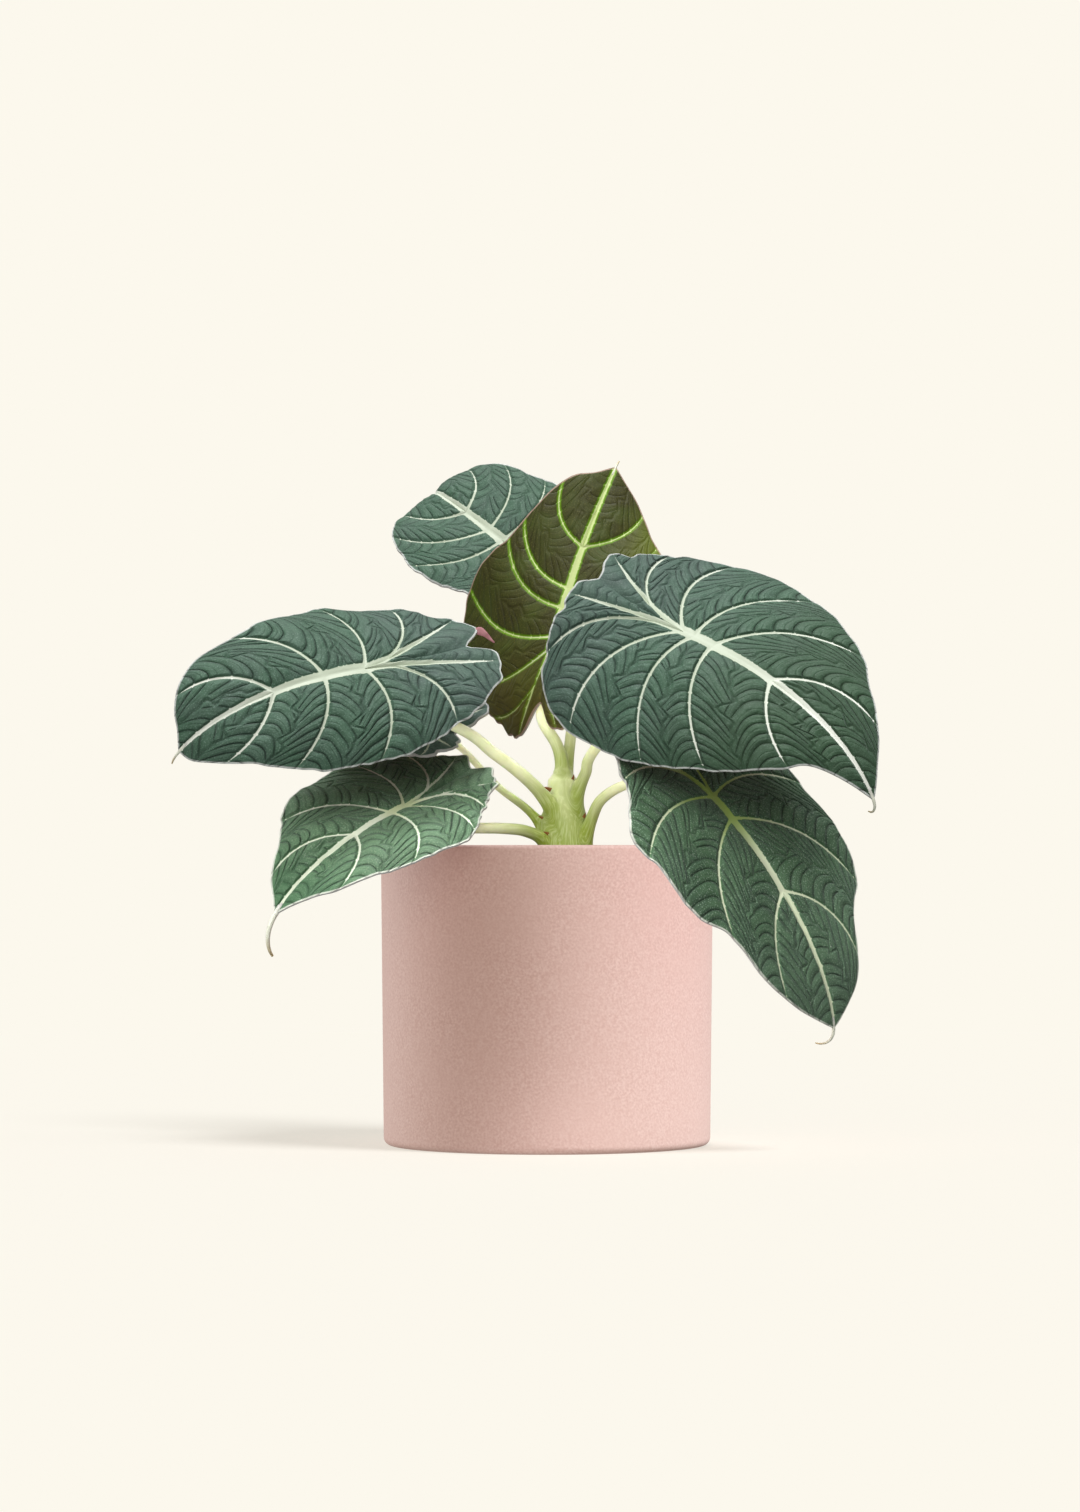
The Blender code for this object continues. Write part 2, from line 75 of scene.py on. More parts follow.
# For each word: the node, the sockets that take the values in turn, the one that is read, and its settings.
nodeWords = {
    "plus": ("Math", (0, 1), 0, dict(operation="ADD")),
    "minus": ("Math", (0, 1), 0, dict(operation="SUBTRACT")),
    "times": ("Math", (0, 1), 0, dict(operation="MULTIPLY")),
    "over": ("Math", (0, 1), 0, dict(operation="DIVIDE")),
    "timesPlus": ("Math", (0, 1, 2), 0, dict(operation="MULTIPLY_ADD")),
    "power": ("Math", (0, 1), 0, dict(operation="POWER")),
    "root": ("Math", (0,), 0, dict(operation="SQRT")),
    "larger": ("Math", (0, 1), 0, dict(operation="MAXIMUM")),
    "pingPong": ("Math", (0, 1), 0, dict(operation="PINGPONG")),
    "ramp": ("MapRange", (0, 1, 2, 3, 4), 0, {}),
    "smooth": ("MapRange", (0, 1, 2, 3, 4), 0, dict(interpolation_type="SMOOTHSTEP")),
    "blend": ("Mix", (0, 6, 7), 2, dict(data_type="RGBA")),
    "noise": ("TexNoise", ("Vector", "Scale", "Detail", "Roughness"), "Fac", {}),
    "cells": ("TexVoronoi", ("Vector", "Scale"), "Distance", dict(feature="F1")),
    "number": ("Attribute", (), "Fac", {}),
    "point": ("Attribute", (), "Vector", {}),
    "place": ("TexCoord", (), "Object", {}),
    "X": ("SeparateXYZ", (0,), "X", {}),
    "Y": ("SeparateXYZ", (0,), "Y", {}),
    "join": ("CombineXYZ", ("X", "Y"), 0, {}),
    "length": ("VectorMath", (0,), "Value", dict(operation="LENGTH")),
    "stretch": ("Mapping", ("Vector", "Scale"), 0, {}),
    "bump": ("Bump", ("Height", "Strength", "Distance"), 0, {}),
    "glow": ("Emission", ("Color", "Strength"), 0, {}),
    "either": ("MixShader", (0, 1, 2), 0, {}),
}


def addNode(tree, word, *values, **settings):    # a node with its settings, values and links
    kind, sockets, result, usual = nodeWords[word]
    node = tree.nodes.new("ShaderNode" + kind)
    for name, value in {**usual, **settings}.items():
        setattr(node, name, value)
    for key, value in zip(sockets, values):
        if isinstance(value, bpy.types.NodeSocket):
            tree.links.new(value, node.inputs[key])
        else:
            node.inputs[key].default_value = srgb(value) if isinstance(value, str) else value
    return node.outputs[result]


def newMaterial(name, values):    # values go straight to the sockets of the Principled shader
    mat = bpy.data.materials.new(name)
    mat.use_nodes = True
    shader = mat.node_tree.nodes["Principled BSDF"]
    for key, value in values.items():
        shader.inputs[key].default_value = srgb(value) if isinstance(value, str) else value
    return mat, partial(addNode, mat.node_tree)


def wire(mat, links, nodeName="Principled BSDF"):
    for key, output in links.items():
        mat.node_tree.links.new(output, mat.node_tree.nodes[nodeName].inputs[key])
    return mat


def addObject(name, data):
    made = bpy.data.objects.new(name, data)
    bpy.context.scene.collection.objects.link(made)
    return made


def makeMesh(name, points, faces, mats, faceMats=None, values=None, corners=None, sharp=60):
    mesh = bpy.data.meshes.new(name)
    mesh.from_pydata((np.asarray(points, float) * mm).tolist(), [], faces)
    for mat in mats:
        mesh.materials.append(mat)
    if faceMats is not None:
        mesh.polygons.foreach_set("material_index", faceMats)
    for key, column in (values or {}).items():
        kind, field = ("FLOAT_VECTOR", "vector") if np.ndim(column) == 2 else ("FLOAT", "value")
        layer = mesh.attributes.new(key, kind, "POINT")
        layer.data.foreach_set(field, np.asarray(column, np.float32).ravel())
    for key, column in (corners or {}).items():    # one value for each corner of each face
        layer = mesh.attributes.new(key, "FLOAT", "CORNER")
        layer.data.foreach_set("value", np.asarray(column, np.float32))
    mesh.shade_smooth()
    mesh.set_sharp_from_angle(angle=math.radians(sharp))
    return addObject(name, mesh)


def dress(piece, nodeName):    # the piece stands for a solid of the frame
    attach(piece, "root")
    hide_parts(nodeName)


def camel(name):         # low_left as LowLeft
    return name.title().replace("_", "")


def ringsAlong(path, radii, axes, sides):    # a ring of points round each place of a path, on its two axes
    turn = 2 * math.pi * np.arange(sides)[:, None] / sides
    path, radii, axes = np.asarray(path), np.asarray(radii), np.asarray(axes)
    return path[:, None] + radii[:, None, None] * (np.cos(turn) * axes[:, :1] + np.sin(turn) * axes[:, 1:])


def loftRings(rings):    # faces through equal rings of points, closed at both ends
    count = len(rings[0])
    faces = []
    for k in range(len(rings) - 1):
        for i in range(count):
            j = (i + 1) % count
            faces.append((k * count + i, k * count + j, (k + 1) * count + j, (k + 1) * count + i))
    faces.append(tuple(reversed(range(count))))
    faces.append(tuple(range((len(rings) - 1) * count, len(rings) * count)))
    return faces


def softNoise(points, size, seed=0.0):    # smooth noise about 0 over points, with features of that size
    return np.array([noise.noise(Vector((p[0] / size + seed, p[1] / size - seed, p[2] / size + 0.7 * seed)))
                     for p in points])


# Leaf materials

# Living leaf with a dense pile of tiny dome-shaped cells: it drinks light face on and greys at a slant,
# so it has almost no gloss and a strong cool sheen. Its veins are smooth and pale, in shallow grooves.
velvetValues = {"Roughness": 0.62, "Specular IOR Level": 0.28, "IOR": 1.42, "Sheen Roughness": 0.38,
                "Sheen Tint": "#cfe6dc"}
# crease, body and crest tones: painted shade along the crease lines, the plain green, and painted light on
# the swellings between them and on raised wrinkles, which also lightens the grain; tint: its second green, in
# clouds;
# dust, dusty: the pale pile and its share; vein, stem, stemReach: the veins, their colour by the stalk and
# how far that reaches; halo, haloReach: the green beside them; zones: stretches of the blade in mm, with a
# share of another
# tone: the lobes behind the stalk are duller, and towards the tip the tone changes, in some blades as painted
# sheen, painted shade or painted light.
leafPaints = {
    "blackVelvetLeaf": dict(
        valley="#16261e", body="#3c5a48", crest="#587864", tint="#42584d", dust="#86a094", dusty=0.36,
        vein="#eef2ea", stem="#bdc8b4", stemReach=75, halo="#48694f", haloReach=0.5, margin="#cdd1d0",
        specks=0.0, sheen=0.14, zones=(({"X": (6, -32)}, 0.24, "#586068"),)),
    "shadeVelvetLeaf": dict(
        valley="#18281c", body="#425f46", crest="#5f8160", tint="#3b5242", dust="#90a993", dusty=0.75,
        vein="#d9e3c6", stem="#9dba62", stemReach=34, halo="#4d7a50", haloReach=0.6, margin="#d8ded4",
        # towards the tip a painted sheen in pale grey-green
        specks=0.6, sheen=0.14, zones=(({"X": (30, 85)}, 0.16, "#8ea894"),)),
    "paleVelvetLeaf": dict(
        valley="#1c2e20", body="#527156", crest="#769876", tint="#48614c", dust="#9db397", dusty=0.5,
        vein="#d6dfcc", stem="#cbd8ae", stemReach=14, halo="#4d7a50", haloReach=0.6, margin="#d8ded4",
        specks=0.3, sheen=0.14, zones=(({"X": (30, 70)}, 0.55, "#3c6a46"),)),
    "youngOliveLeaf": dict(    # not yet velvety, with painted light in lime green towards the right of its tip
        valley="#242309", body="#34330f", crest="#444617", tint="#3f4c15", dust="#666630", dusty=0.5,
        vein="#c8d894", stem="#ccd6a8", stemReach=20, halo="#76ac14", haloReach=1.1, margin="#b59a8c",
        specks=0.0, sheen=0.03, zones=(({"X": (6, -32)}, 0.5, "#6c662c"),
                                       ({"X": (5, 45), "Y": (-8, -36)}, 0.9, "#727f28"))),
}
# The black velvet with painted shade: a darker green that grows from behind the stalk towards the tip.
leafPaints["deepVelvetLeaf"] = {**leafPaints["blackVelvetLeaf"], "zones": (
    ({"X": (6, -32)}, 0.24, "#586068"), ({"X": (-5, 60)}, 0.48, "#2f4727"))}
# Arches of folds cross the fields between the veins, a coarse and a fine set of them. All in millimetres.
archLook = dict(spacing=2.6, main=0.52, fine=0.36, mainDepth=0.12, fineDepth=0.06, puff=0.88, finePuff=0.16,
                wrinkle=1.2, wrinkleDepth=0.10, stretch=0.28, grainDepth=0.07, veinRise=0.08, fray=0.24,
                thorn=0.30, mainEnds=(0.8, 2.6), fineEnds=(1.2, 3.0), vein=(-0.14, 0.12), edge=(0.35, 0.80))
leafNoise = dict(grain=(0.75, 3.0), mottle=(16.0, 3.0), patch=(8.0, 1.0), fade=(6.0, 1.0), dust=(0.6, 1.0),
                 fray=(1.4, 2.0), speck=(14.0, 1.0))    # size in millimetres, and detail
speckLook = dict(scale=0.55, edge=(0.10, 0.16), patch=(0.56, 0.66), colour="#c9d3c8")
# fold and crease are the shares of the painted light on the swellings and the painted shade in the creases
paintShares = dict(fold=0.35, wrinkle=0.24, grain=0.26, crease=0.50, halo=0.80, margin=0.85)


def leafTop(name, paint):
    look, shares = archLook, paintShares
    mat, add = newMaterial(name, {**velvetValues, "Sheen Weight": paint["sheen"]})
    flat = add("point", attribute_name="flat")
    arch, veinGap, edgeGap, midGap, quilt, narrow = (add("number", attribute_name=key) for key in (
        "arch", "veinGap", "edgeGap", "midGap", "quilt", "narrow"))
    cloud = {key: add("noise", flat, 1 / size, detail) for key, (size, detail) in leafNoise.items()}

    line, gap, swell = {}, {}, {}    # at every 4th, 2nd and 1st arch: a line, the way to it, and the swelling
    for step, half in ((4, look["main"]), (2, look["main"]), (1, look["fine"])):
        part = add("pingPong", add("times", arch, 1 / step), 0.5)
        gap[step] = add("times", add("times", part, step * look["spacing"]), narrow)
        line[step] = add("smooth", gap[step], 0.0, half, 1.0, 0.0)
        low = add("timesPlus", part, -2.0, 1.0)
        swell[step] = add("root", add("timesPlus", low, add("times", low, -1.0), 1.0))
    # every second arch ends before the crease along the middle of the field
    reaches = add("smooth", midGap, *look["mainEnds"])
    mainLine = add("larger", line[4], add("times", line[2], reaches))
    mainLine = add("larger", mainLine, add("smooth", midGap, 0.0, look["main"], 0.8, 0.0))
    thorn = add("times", mainLine, look["thorn"])
    wide = add("times", swell[4], 1.3)
    puff = add("timesPlus", add("minus", swell[2], wide), reaches, wide)
    puff = add("times", add("times", puff, add("power", narrow, 0.75)), add("smooth", midGap, 0.0, 1.6))
    uneven = add("smooth", cloud["fade"], 0.35, 0.6, 0.6, 1.0)
    for amount in (quilt, uneven, add("smooth", narrow, 0.1, 0.5, 0.35, 1.0)):
        mainLine = add("times", mainLine, amount)
    here = add("times", add("smooth", midGap, *look["fineEnds"]), add("smooth", cloud["patch"], 0.2, 0.5))
    here = add("times", here, add("smooth", narrow, 0.3, 0.7))
    fineLine = add("times", add("times", line[1], here), quilt)
    # fine wrinkles run along the arches: noise that is stretched away from the vein
    place = add("join", add("times", arch, look["spacing"]), add("times", veinGap, look["stretch"]))
    wrinkle = add("smooth", add("noise", place, 1 / look["wrinkle"], 2.0, 0.6), 0.3, 0.7)
    # the edge of a vein is frayed, with a thorn where each arch meets it
    ragged = add("plus", veinGap, add("times", add("minus", cloud["fray"], 0.5), look["fray"]))
    ragged = add("minus", ragged, thorn)
    onVein = add("smooth", ragged, *look["vein"], 1.0, 0.0)

    colour = add("blend", add("smooth", cloud["mottle"], 0.35, 0.68), paint["body"], paint["tint"])
    # painted light on the swellings and raised wrinkles, the grain, the pale dust, painted shade in the
    # creases, the halo
    for amount, share, tone in (
            (add("smooth", gap[2], 0.5, 2.2), shares["fold"], "crest"),
            (wrinkle, shares["wrinkle"], "crest"),
            (add("smooth", cloud["grain"], 0.42, 0.75), shares["grain"], "crest"),
            (add("smooth", cloud["dust"], 0.54, 0.72), paint["dusty"], "dust"),
            (add("larger", mainLine, add("times", fineLine, 0.3)), shares["crease"], "valley"),
            (add("smooth", ragged, 0.0, paint["haloReach"], 1.0, 0.0), shares["halo"], "halo")):
        colour = add("blend", add("times", amount, share), colour, paint[tone])
    fromStalk = add("smooth", add("length", flat), 0.25 * paint["stemReach"], paint["stemReach"])
    colour = add("blend", onVein, colour, add("blend", fromStalk, paint["stem"], paint["vein"]))
    # stretches of the blade with another tone; some are painted sheen, painted shade or painted light
    for spans, share, tone in paint["zones"]:
        amount = add("times", add("minus", 1.0, onVein), share)
        for axis, span in spans.items():
            amount = add("times", amount, add("smooth", add(axis, flat), *span))
        colour = add("blend", amount, colour, tone)
    if paint["specks"]:
        near = add("smooth", add("cells", flat, speckLook["scale"]), *speckLook["edge"], 1.0, 0.0)
        some = add("times", near, add("smooth", cloud["speck"], *speckLook["patch"]))
        colour = add("blend", add("times", some, paint["specks"]), colour, speckLook["colour"])
    onEdge = add("smooth", edgeGap, *look["edge"], 1.0, 0.0)
    colour = add("blend", add("times", onEdge, shares["margin"]), colour, paint["margin"])
    rough = add("smooth", onVein, 0.0, 1.0, velvetValues["Roughness"], 0.46)

    height = add("times", cloud["grain"], look["grainDepth"])
    for rise, depth in (
            (mainLine, -look["mainDepth"]), (fineLine, -look["fineDepth"]),
            (add("times", wrinkle, quilt), look["wrinkleDepth"]),
            (add("times", add("times", puff, uneven), quilt), look["puff"]),
            (add("times", add("times", swell[1], narrow), add("times", here, quilt)), look["finePuff"]),
            (onVein, look["veinRise"])):
        height = add("timesPlus", rise, depth, height)
    return wire(mat, {"Base Color": colour, "Roughness": rough, "Normal": add("bump", height, 1.0, mm)})


# The back of the blade: smooth living leaf, dusky pink from the pigment under its skin, with raised ribs.
undersideLook = dict(skin="#b98287", cloud="#a66f78", vein="#d9c3ae", size=7.0, pore=0.4, poreDepth=0.1)


def leafBack():
    look = undersideLook
    mat, add = newMaterial("leafUnderside", {"Roughness": 0.5, "IOR": 1.42, "Specular IOR Level": 0.4})
    flat = add("point", attribute_name="flat")
    skin = add("blend", add("noise", flat, 1 / look["size"], 4.0), look["skin"], look["cloud"])
    onVein = add("smooth", add("number", attribute_name="veinGap"), -0.2, 0.5, 1.0, 0.0)
    pores = add("bump", add("noise", flat, 1 / look["pore"], 2.0), 0.25, look["poreDepth"] * mm)
    return wire(mat, {"Base Color": add("blend", onVein, skin, look["vein"]), "Normal": pores})


# The thickened rim of the blade: bare, waxy and silver grey, it draws a fine light line round the leaf. The
# thread at its tip is paler, and dry at the very end.
rimLook = dict(wax="#d3d6d4", cloud="#b5b0b0", size=5.0, thread="#edf0e0", dry="#d3bb84")


def leafRim():
    look = rimLook
    mat, add = newMaterial("leafRim", {"Roughness": 0.45, "IOR": 1.42})
    cloud = add("noise", add("point", attribute_name="flat"), 1 / look["size"], 3.0)
    colour = add("blend", cloud, look["wax"], look["cloud"])
    along = add("number", attribute_name="thread")
    for start, end, tone in ((0.0, 0.3, "thread"), (0.6, 1.0, "dry")):
        colour = add("blend", add("ramp", along, start, end), colour, look[tone])
    return wire(mat, {"Base Color": colour})


# Blades: the same bends and outlines as the solids, on a mesh fine enough for the quilting

marginAngles = (4, 10, 20, 35, 50, 70, 90, 110, 130, 148, 162, 172)   # degrees from the tip, either side
bladeForm = dict(thickness=0.9, rim=0.7, along=60, cell=0.85, puff=1.3, wave=0.9, waves=9, waveEnd=1.15,
                 wiggle=0.22, rearWiggle=0.40, ribKeel=0.9, veinKeel=0.45, bow=0.15, costaBow=0.05,
                 bendLength=100.0, curlWidth=55.0, rimWide=5.0, keelStop=3.0)
quilting = dict(main=0.40, reach=1.6, lean=0.85, bend=1.9, uneven=0.55, wander=0.11, wanderSize=9.0,
                zigzag=0.15, ripples=((0.5, 13.0), (0.35, 7.3)), fadeIn=0.12, midWide=(1.0, 4.0),
                round=0.65, midHigh=1.6, veinClear=0.8, edgeFade=4.0)
veinWidths = dict(rib=1.75, ribTip=0.58, side=0.58, sideEnd=0.34, costa=1.05, costaEnd=0.28, flare=0.5)
# heading, dip, roll: how the blade stands; arch, droop, lift, sweep, twist, curl, gutter: its bends;
# fold: where it folds along and how far; tip, left, right, notch: the margin's radii; thread, hook, drip: the
# drip tip's length, turn and radii; veins, costa, branch: where the veins start and end, and a pair of starts
# where the two sides differ; root, stalk, girth: the petiole's path and radii; paint, relief: its surface and
# how deep its folds are; fan: how far the arches lean, left and right; slim: shares of the usual vein widths.
leaves = {
    "left": dict(
        attach=(-70, -44, 184), heading=209, dip=8, roll=-44, arch=43, droop=47, lift=29, sweep=8,
        twist=-23, curl=(49, 34), gutter=5, tip=81, thread=6, hook=25, notch=44,
        left=(80, 74, 64, 55, 49, 43, 41, 41, 44, 51, 54, 53),
        right=(77, 74, 68, 53, 45, 40, 41, 43, 47, 48, 51, 52),
        veins=((38, 13, 14), (17, 36, 36), (0, 78, 89)), costa=(165, 157), branch=(12, 126, 127),
        root=(6, -3, 112), stalk=((3.6, -5, 127), (-3.2, -7.5, 138), (-12, -13, 146.2), (-21, -19.5, 152.8),
                                  (-34, -29, 162)),
        girth=(3.0, 1.8),
        paint="blackVelvetLeaf", relief=1.0, fan=(1, 1.9), slim=dict(rib=1.3, costa=1.7, flare=1.5)),
    "right": dict(
        attach=(52, -46, 198), heading=-32, dip=22, roll=30, arch=25, droop=21, lift=52, sweep=-14,
        twist=7, curl=(14, 49), gutter=2, tip=104, thread=9, hook=110, notch=42,
        left=(95, 86, 75, 68, 62, 59, 59, 57, 50, 48, 49, 45),
        right=(94, 83, 78, 71, 65, 62, 61, 61, 54, 49, 47, 46),
        veins=((42, 12, 17), (14, 35, 43), (5, 67, 69), (0, 105, 100)),
        costa=(160, 161), branch=((20, 12), 131, 130),
        root=(10, -2, 116), stalk=((11, -3.5, 130), (12.4, -5, 138), (15, -7, 145), (20, -14, 156)),
        girth=(2.6, 1.6),
        paint="deepVelvetLeaf", relief=1.0, fan=(1.9, 1), slim=dict(rib=1.3, costa=1.7, flare=1.5)),
    "low_left": dict(
        attach=(-55, -42, 131), heading=219, dip=21, roll=-18, arch=33, droop=55, lift=23, sweep=6,
        twist=-4, curl=(20, 4), gutter=8, tip=71, thread=18, hook=56, notch=36, drip=(1.15, 0.5),
        left=(66, 61, 56, 48, 44, 41, 39, 34, 33, 37, 39, 40),
        right=(66, 61, 52, 47, 45, 40, 38, 37, 37, 38, 40, 40),
        veins=((25, 21, 11), (6, 53, 38), (0, 95, 100)), costa=(150, 164), branch=(14, 122, 132),
        root=(7, -3, 104), stalk=((-1, -8, 118), (-8, -12.5, 122.3), (-17, -18, 123.4), (-27, -24, 123.5)),
        girth=(2.5, 1.9),
        paint="paleVelvetLeaf", relief=1.05, slim=dict(rib=0.8, side=0.85)),
    "low_right": dict(
        attach=(63, -48, 135), heading=-22, dip=46, roll=24, arch=33, droop=15, lift=-10, sweep=5,
        twist=13, curl=(9, 8), gutter=2, tip=102, thread=13, hook=85, notch=34,
        left=(97, 90, 73, 67, 58, 50, 48, 43, 42, 45, 46, 41),
        right=(97, 90, 78, 61, 58, 51, 50, 41, 41, 45, 46, 41),
        veins=((45, 14, 14), (11, 34, 33), (0, 78, 78)), costa=(156, 156), branch=(14, 122, 122),
        root=(13, -5, 104), stalk=((15, -8, 118), (17.5, -9.5, 127.5), (21.5, -12.5, 135), (31, -20, 140.5),
                                   (46, -32, 143)),
        girth=(2.7, 1.5),
        paint="shadeVelvetLeaf", relief=1.05, slim=dict(rib=0.8, side=0.8, costa=0.9)),
    "centre": dict(
        attach=(2, 18, 195), heading=58, dip=-63, roll=-5, arch=13, droop=4, lift=-47, sweep=3,
        twist=55, curl=(24, 30), gutter=1, tip=90, thread=4, hook=10, notch=24,
        left=(84, 80, 68, 57, 56, 53, 48, 44, 41, 40, 38, 29),
        right=(85, 79, 68, 61, 58, 55, 50, 46, 43, 41, 38, 30),
        veins=((47, 13, 14), (27, 26, 26), (18, 34, 34), (5, 59, 59), (0, 100, 100)),
        costa=(160, 160), branch=(17, 127, 127),
        root=(7, -1, 126), stalk=((6, -1, 146), (4, 5, 156), (-2, 13.5, 167), (0, 20, 176), (5, 26, 187)),
        girth=(2.8, 2.0),
        paint="youngOliveLeaf", relief=0.32, slim=dict(rib=0.78, side=0.46, sideEnd=0.6, costa=0.6)),
    "back": dict(
        attach=(-18, 75, 241), heading=136, dip=-32, roll=-43, arch=22, droop=14, lift=-15, sweep=3,
        twist=-4, curl=(6, 36), gutter=6, fold=(41, 58, 95), tip=70, thread=3, hook=10, notch=26,
        left=(62, 57, 52, 49, 43, 38, 34, 32, 34, 34, 33, 29),
        right=(62, 57, 52, 48, 41, 39, 37, 35, 34, 34, 33, 29),
        veins=((25, 20, 20), (9, 38, 38), (0, 64, 64)), costa=(158, 158), branch=(13, 122, 122),
        root=(7, 2, 126), stalk=((8, 6, 147), (9.5, 15, 161), (12, 36, 185), (5, 66, 212), (-10, 81, 229)),
        girth=(2.4, 1.7),
        paint="blackVelvetLeaf", relief=0.6, slim=dict(rib=1.1, side=0.95, sideEnd=0.2)),
    "hidden": dict(
        attach=(-55, -12, 162), heading=160, dip=-5, roll=-50, arch=30, droop=30, lift=0, sweep=0,
        twist=0, curl=(-60, 25), gutter=8, tip=50, thread=4, hook=30, notch=21,
        left=(45, 41, 36, 31, 28, 25, 23, 22, 23, 25, 26, 24),
        right=(45, 41, 37, 32, 30, 28, 26, 26, 28, 32, 33, 27),
        veins=((21, 14, 14), (8, 36, 36), (0, 80, 80)), costa=(156, 156), branch=(10, 124, 124),
        root=(4, -2, 110), stalk=((-5, -2, 128), (-20, 0, 140.5), (-35, 1, 156), (-46, 0, 159)),
        girth=(1.8, 1.2),
        paint="blackVelvetLeaf", relief=0.4),
}


def marginRadius(leaf, side, angle):    # smooth through the given radii, rounded into the notch
    radii = np.array([leaf["tip"], *leaf[side], leaf["notch"]], float)
    knots = np.array([0.0, *marginAngles, 180.0])
    slopes = np.gradient(radii, knots)
    slopes[-1] = 0.0
    k = np.clip(np.searchsorted(knots, angle) - 1, 0, len(knots) - 2)
    step = knots[k + 1] - knots[k]
    f = (angle - knots[k]) / step
    turn = np.radians(angle)
    wiggle = sum(high * np.sin(count * turn + start) for high, count, start in (
        (1.0, 17, leaf["tip"]), (0.7, 31, leaf["notch"]), (0.4, 47, 0)))
    wiggle = wiggle * (bladeForm["wiggle"] + bladeForm["rearWiggle"] * np.clip((angle - 110) / 30, 0, 1))
    wiggle = wiggle * np.clip(angle / 25, 0, 1) * np.clip((180 - angle) / 14, 0, 1)
    return (wiggle + (1 + 2 * f) * (1 - f) ** 2 * radii[k] + f * (1 - f) ** 2 * step * slopes[k]
            + f * f * (3 - 2 * f) * radii[k + 1] + f * f * (f - 1) * step * slopes[k + 1])


def marginPoints(leaf, side, angles):    # the margin of one side, at angles from the tip
    hand = 1 if side == "left" else -1
    angles = np.atleast_1d(np.asarray(angles, float))
    radii = marginRadius(leaf, side, angles)
    turn = np.radians(angles)
    return np.stack([radii * np.cos(turn), hand * radii * np.sin(turn)], 1)


def bowed(start, end, bow, shares):     # a vein bows to one side by a share of its length
    start, end = np.asarray(start, float), np.asarray(end, float)
    chord = end - start
    f = np.asarray(shares, float)[:, None]
    return start + chord * f + np.array((-chord[1], chord[0])) * bow * 4 * f * (1 - f)


def frameOf(leaf):       # along the rib to the tip, to the leaf's left, and up out of the blade
    h, p, r = (math.radians(leaf[k]) for k in ("heading", "dip", "roll"))
    tip = np.array((math.cos(h) * math.cos(p), math.sin(h) * math.cos(p), -math.sin(p)))
    level = np.array((-math.sin(h), math.cos(h), 0.0))
    left = math.cos(r) * level + math.sin(r) * np.cross(tip, level)
    return tip, left, np.cross(tip, left)


def bentSheet(leaf, flat, steps=40):    # flat (along, across) points on the bent blade, and its normals
    tip, left, up = frameOf(leaf)
    rad = math.radians
    f = np.linspace(0, 1, steps + 1)
    s, w = flat[:, 0], flat[:, 1]
    way = s[:, None] * f
    x = way / bladeForm["bendLength"]
    fall = np.where(x > 0, rad(leaf["arch"]) * x + rad(leaf["droop"]) * x ** 4, -rad(leaf["lift"]) * x)
    fall = fall + rad(leaf["hook"]) * np.clip((way - leaf["tip"]) / leaf["thread"], 0, 1)
    begin, end, turned = leaf.get("fold", (0, 1, 0))
    folded = np.clip((way - begin) / (end - begin), 0, 1)
    fall = fall + rad(turned) * folded * folded * (3 - 2 * folded)
    side = rad(leaf["sweep"]) * x * np.abs(x)

    def summed(a, length):
        return (a.sum(1) - 0.5 * (a[:, 0] + a[:, -1])) * length / steps

    headings = list(zip((np.cos(fall) * np.cos(side), np.cos(fall) * np.sin(side), -np.sin(fall)),
                        (tip, left, up)))
    rib = sum(summed(part, s)[:, None] * axis for part, axis in headings)
    ahead = sum(part[:, -1:] * axis for part, axis in headings)
    aside = -np.sin(side[:, -1:]) * tip + np.cos(side[:, -1:]) * left
    above = np.cross(ahead, aside)
    turn = rad(leaf["twist"]) * s[:, None] / bladeForm["bendLength"]
    aside, above = np.cos(turn) * aside + np.sin(turn) * above, -np.sin(turn) * aside + np.cos(turn) * above
    reach = np.abs(w)
    bend = np.where(w > 0, rad(leaf["curl"][0]), rad(leaf["curl"][1]))[:, None]
    tilt = -rad(leaf["gutter"]) + bend * reach[:, None] * f / bladeForm["curlWidth"]
    out = np.sign(w)[:, None] * summed(np.cos(tilt), reach)[:, None] * aside
    down = -summed(np.sin(tilt), reach)[:, None] * above
    lastTilt = tilt[:, -1:]
    normal = np.cos(lastTilt) * above + np.sign(w)[:, None] * np.sin(lastTilt) * aside
    return np.array(leaf["attach"], float) + rib + out + down, normal


def lineTo(first, last, shares):    # the points at those shares of a straight line
    first, last = np.asarray(first, float), np.asarray(last, float)
    return first + np.outer(shares, last - first)


def marginStops(leaf, pick):    # the angles where veins end on one side, from the tip round to the notch
    return [0, *(v[1 + pick] for v in leaf["veins"]), leaf["branch"][1 + pick], leaf["costa"][pick], 180]


def columnShares(leaf):    # for each field the places of its columns, closer together beside the veins
    found = []
    stops = {side: marginStops(leaf, pick) for pick, side in enumerate(("left", "right"))}
    for k in range(len(stops["left"]) - 1):
        lengths = []
        for side, turns in stops.items():
            rim = marginPoints(leaf, side, np.linspace(turns[k], turns[k + 1], 12))
            lengths.append(np.linalg.norm(np.diff(rim, axis=0), axis=1).sum())
        count = 2 * max(4, round(max(lengths) / bladeForm["cell"] / 2))
        even = np.linspace(0, 1, count + 1)
        found.append(0.45 * even + 0.55 * (0.5 - 0.5 * np.cos(math.pi * even)))
    return found


